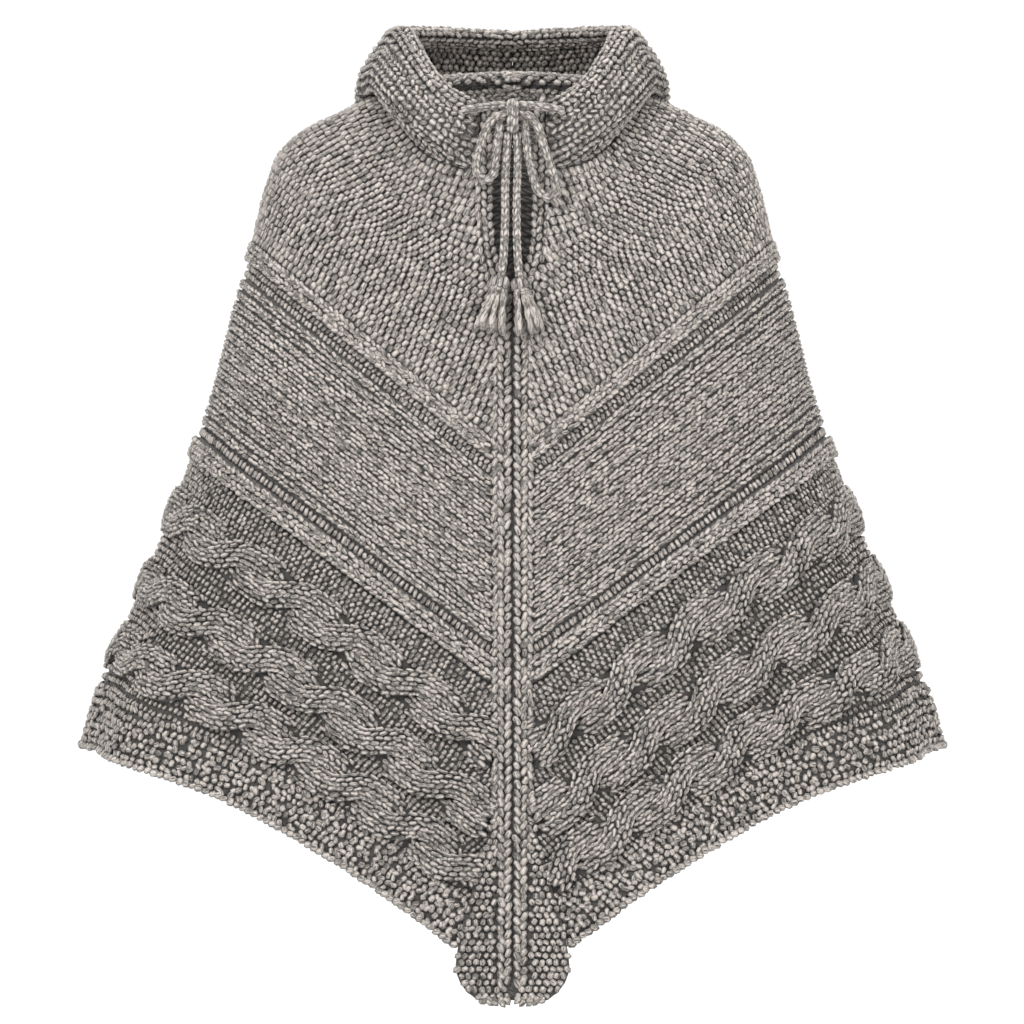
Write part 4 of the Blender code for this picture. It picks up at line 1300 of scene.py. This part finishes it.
def stage(settings):
    """A pale floor that curves up into a wall behind, soft studio lights and the camera."""
    floor = CAD_BOX[0][2] - 0.10
    turn = np.linspace(0, SIDE, 24)
    y = np.concatenate([[ROOM_FRONT], 2.6 + WALL_TURN * np.sin(turn), [WALL_Y]])
    z = np.concatenate([[floor], floor + WALL_TURN * (1 - np.cos(turn)), [floor + WALL_HIGH]])
    x = np.array((-ROOM_HALF, ROOM_HALF))
    points = np.stack(np.broadcast_arrays(x[None], y[:, None], z[:, None]), axis=-1).reshape(-1, 3)
    quads = grid_quads(len(y), 2)
    mesh = quick_mesh("studio_floor", points, quads[:, ::-1].ravel(), np.full(len(quads), 4), {}, {})
    plain = Finish("studio_paper", Roughness=0.9)
    plain.shader.inputs["Base Color"].default_value = tuple(settings.floor)
    # The paper is one-sided, so that the wall doesn't hide the garment from behind.
    behind = plain.node("ShaderNodeNewGeometry", {}, {}, "Backfacing")
    connect(plain.tree, 1 - behind, plain.shader.inputs["Alpha"])
    mesh.materials.append(plain.material)
    backdrop = bpy.data.objects.new("studio_floor", mesh)
    bpy.context.scene.collection.objects.link(backdrop)
    for name, place, aim, size, power in STUDIO_LIGHTS:
        lamp = bpy.data.lights.new(name, "AREA")
        lamp.shape = "RECTANGLE"
        lamp.size, lamp.size_y = size
        lamp.energy = power * settings.light_power
        made = bpy.data.objects.new(name, lamp)
        made.location = place
        made.rotation_euler = direction_to(place, aim)
        bpy.context.scene.collection.objects.link(made)
    world = bpy.data.worlds.new("studio_air")
    world.use_nodes = True
    world.node_tree.nodes["Background"].inputs["Color"].default_value = (1, 1, 1, 1)
    world.node_tree.nodes["Background"].inputs["Strength"].default_value = settings.air
    bpy.context.scene.world = world
    bpy.context.scene.view_settings.view_transform = "Standard"
    view = bpy.data.cameras.new("front_view")
    view.sensor_width = SENSOR
    across, up = VIEW_MIDDLE
    place = (across, VIEW_PLANE - CAMERA_FAR, up + CAMERA_FAR * math.tan(settings.view_height))
    view.lens = SENSOR * math.dist(place, (across, VIEW_PLANE, up)) / FRAME_WIDE
    camera = bpy.data.objects.new("front_view", view)
    camera.location = place
    camera.rotation_euler = (SIDE - settings.view_height, 0, 0)
    bpy.context.scene.collection.objects.link(camera)
    bpy.context.scene.camera = camera


def direction_to(place, aim):
    """Turn of a lamp at a place so that it shines on a point."""
    dx, dy, dz = (a - p for a, p in zip(aim, place))
    return (math.atan2(math.hypot(dx, dy), -dz), 0, math.atan2(dx, dy) * -1)


STUDIO_LIGHTS = (
    ("key_light", (-1.6, -3.2, 1.9), (0, 0, -0.3), (1.6, 1.6), 90),
    ("fill_light", (2.2, -2.8, 0.6), (0, 0, -0.3), (2.0, 2.0), 40),
    ("top_light", (0.0, -0.4, 2.6), (0, 0, -0.3), (2.0, 2.0), 40),
    ("back_light", (0.0, 2.4, 1.6), (0, 0, -0.2), (2.0, 1.5), 30),
)


# ---- The add-on ----

class PonchoSettings(bpy.types.PropertyGroup):
    dark: bpy.props.FloatVectorProperty(
        name="Dark ply", description="Colour of the darker ply", subtype="COLOR", size=4,
        default=(0.105, 0.098, 0.089, 1.0), min=0, max=1)
    light: bpy.props.FloatVectorProperty(
        name="Light ply", description="Colour of the lighter ply", subtype="COLOR", size=4,
        default=(0.525, 0.495, 0.462, 1.0), min=0, max=1)
    warm: bpy.props.FloatVectorProperty(
        name="Warm tint", description="Colour that some of the light ply leans to", subtype="COLOR", size=4,
        default=(0.52, 0.455, 0.41, 1.0), min=0, max=1)
    # Painted shade: the dark colour that the wool finishes mix in for the shade in the gaps between stitches, on
    # the low flanks and ends of each grain and on the cloth's outer face.
    gap: bpy.props.FloatVectorProperty(
        name="Gap shade", description="Colour in the gaps between stitches", subtype="COLOR", size=4,
        default=(0.026, 0.024, 0.022, 1.0), min=0, max=1)
    fuzz: bpy.props.FloatProperty(
        name="Fuzz", description="Strength of the wool's soft sheen", default=0.12, min=0, max=1)
    fibre_depth: bpy.props.FloatProperty(
        name="Fibre depth", description="Depth of the yarn's own relief", default=0.0006, subtype="DISTANCE",
        unit="LENGTH", precision=4)
    cord_diameter: bpy.props.FloatProperty(
        name="Cord diameter", description="Diameter of the drawstring", default=0.0078, subtype="DISTANCE",
        unit="LENGTH", precision=4)
    floor: bpy.props.FloatVectorProperty(
        name="Paper", description="Colour of the studio's floor and wall", subtype="COLOR", size=4,
        default=(0.92, 0.92, 0.92, 1.0), min=0, max=1)
    light_power: bpy.props.FloatProperty(
        name="Light", description="Strength of the studio lights", default=1.0, min=0)
    air: bpy.props.FloatProperty(
        name="Ambient light", description="Strength of the light from all round", default=0.75, min=0)
    view_height: bpy.props.FloatProperty(
        name="View height", description="Angle at which the camera looks down", default=math.radians(0.5),
        subtype="ANGLE", unit="ROTATION")


class PONCHO_OT_yokes(bpy.types.Operator):
    """Knit the two halves of the yoke in purl bumps"""
    bl_idname = "poncho.yokes"
    bl_label = "Yokes"

    def execute(self, context):
        for side_name in SIDES:
            yoke(side_name)
        return {"FINISHED"}


class PONCHO_OT_ribs(bpy.types.Operator):
    """Knit the raised ribs above and below the plain bands"""
    bl_idname = "poncho.ribs"
    bl_label = "Ribs"

    def execute(self, context):
        for side_name in SIDES:
            rib_strip(side_name, "upper_rib", "rib_top", "rib_end", 21)
            rib_strip(side_name, "lower_rib", "low_rib_top", "low_rib_end", 25)
        return {"FINISHED"}


class PONCHO_OT_plain_bands(bpy.types.Operator):
    """Knit the plain bands between their two purl troughs"""
    bl_idname = "poncho.plain_bands"
    bl_label = "Plain Bands"

    def execute(self, context):
        for side_name in SIDES:
            plain_strip(side_name)
        return {"FINISHED"}


class PONCHO_OT_cable_panels(bpy.types.Operator):
    """Knit the cable panels, three cables to each half"""
    bl_idname = "poncho.cable_panels"
    bl_label = "Cable Panels"

    def execute(self, context):
        for side_name in SIDES:
            cable_strip(side_name)
        return {"FINISHED"}


class PONCHO_OT_hem_borders(bpy.types.Operator):
    """Knit the hem borders in seed stitch"""
    bl_idname = "poncho.hem_borders"
    bl_label = "Hem Borders"

    def execute(self, context):
        for side_name in SIDES:
            border_strip(side_name)
        return {"FINISHED"}


class PONCHO_OT_front_bands(bpy.types.Operator):
    """Knit the raised band down the centre front and the bands beside the neck slit"""
    bl_idname = "poncho.front_bands"
    bl_label = "Front Bands"

    def execute(self, context):
        centre_band()
        for side_name in SIDES:
            edge_band(side_name)
        return {"FINISHED"}


class PONCHO_OT_hood(bpy.types.Operator):
    """Knit the hood's two halves and the casing round its face edge"""
    bl_idname = "poncho.hood"
    bl_label = "Hood"

    def execute(self, context):
        form = HoodForm()
        for side_name in SIDES:
            hood_half(form, side_name)
        casing(form)
        return {"FINISHED"}


class PONCHO_OT_drawstring(bpy.types.Operator):
    """Knit the drawstring, tied in a bow, with its tassels"""
    bl_idname = "poncho.drawstring"
    bl_label = "Drawstring"

    def execute(self, context):
        drawstring(context.scene.poncho)
        return {"FINISHED"}


class PONCHO_OT_stage(bpy.types.Operator):
    """Set up the floor, the lights and the camera"""
    bl_idname = "poncho.stage"
    bl_label = "Stage"

    def execute(self, context):
        stage(context.scene.poncho)
        return {"FINISHED"}


OPERATORS = (
    PONCHO_OT_stage, PONCHO_OT_drawstring, PONCHO_OT_yokes, PONCHO_OT_ribs, PONCHO_OT_plain_bands,
    PONCHO_OT_cable_panels, PONCHO_OT_hem_borders, PONCHO_OT_front_bands, PONCHO_OT_hood,
)


class PONCHO_PT_panel(bpy.types.Panel):
    """Lists the poncho's settings and pieces"""
    bl_label = "Knitted Poncho"
    bl_idname = "PONCHO_PT_panel"
    bl_space_type = "VIEW_3D"
    bl_region_type = "UI"
    bl_category = "Poncho"

    def draw(self, context):
        for key in PonchoSettings.__annotations__:
            self.layout.prop(context.scene.poncho, key)
        for made in OPERATORS:
            self.layout.operator(made.bl_idname)


CLASSES = (PonchoSettings, *OPERATORS, PONCHO_PT_panel)


def register():
    for made in CLASSES:
        bpy.utils.register_class(made)
    bpy.types.Scene.poncho = bpy.props.PointerProperty(type=PonchoSettings)


def unregister():
    del bpy.types.Scene.poncho
    for made in reversed(CLASSES):
        bpy.utils.unregister_class(made)


def main():
    register()
    bpy.ops.poncho.stage()
    bpy.ops.poncho.drawstring()
    bpy.ops.poncho.yokes()
    bpy.ops.poncho.ribs()
    bpy.ops.poncho.plain_bands()
    bpy.ops.poncho.cable_panels()
    bpy.ops.poncho.hem_borders()
    bpy.ops.poncho.front_bands()
    bpy.ops.poncho.hood()
    bpy.context.view_layer.update()


if __name__ == "__main__":
    main()
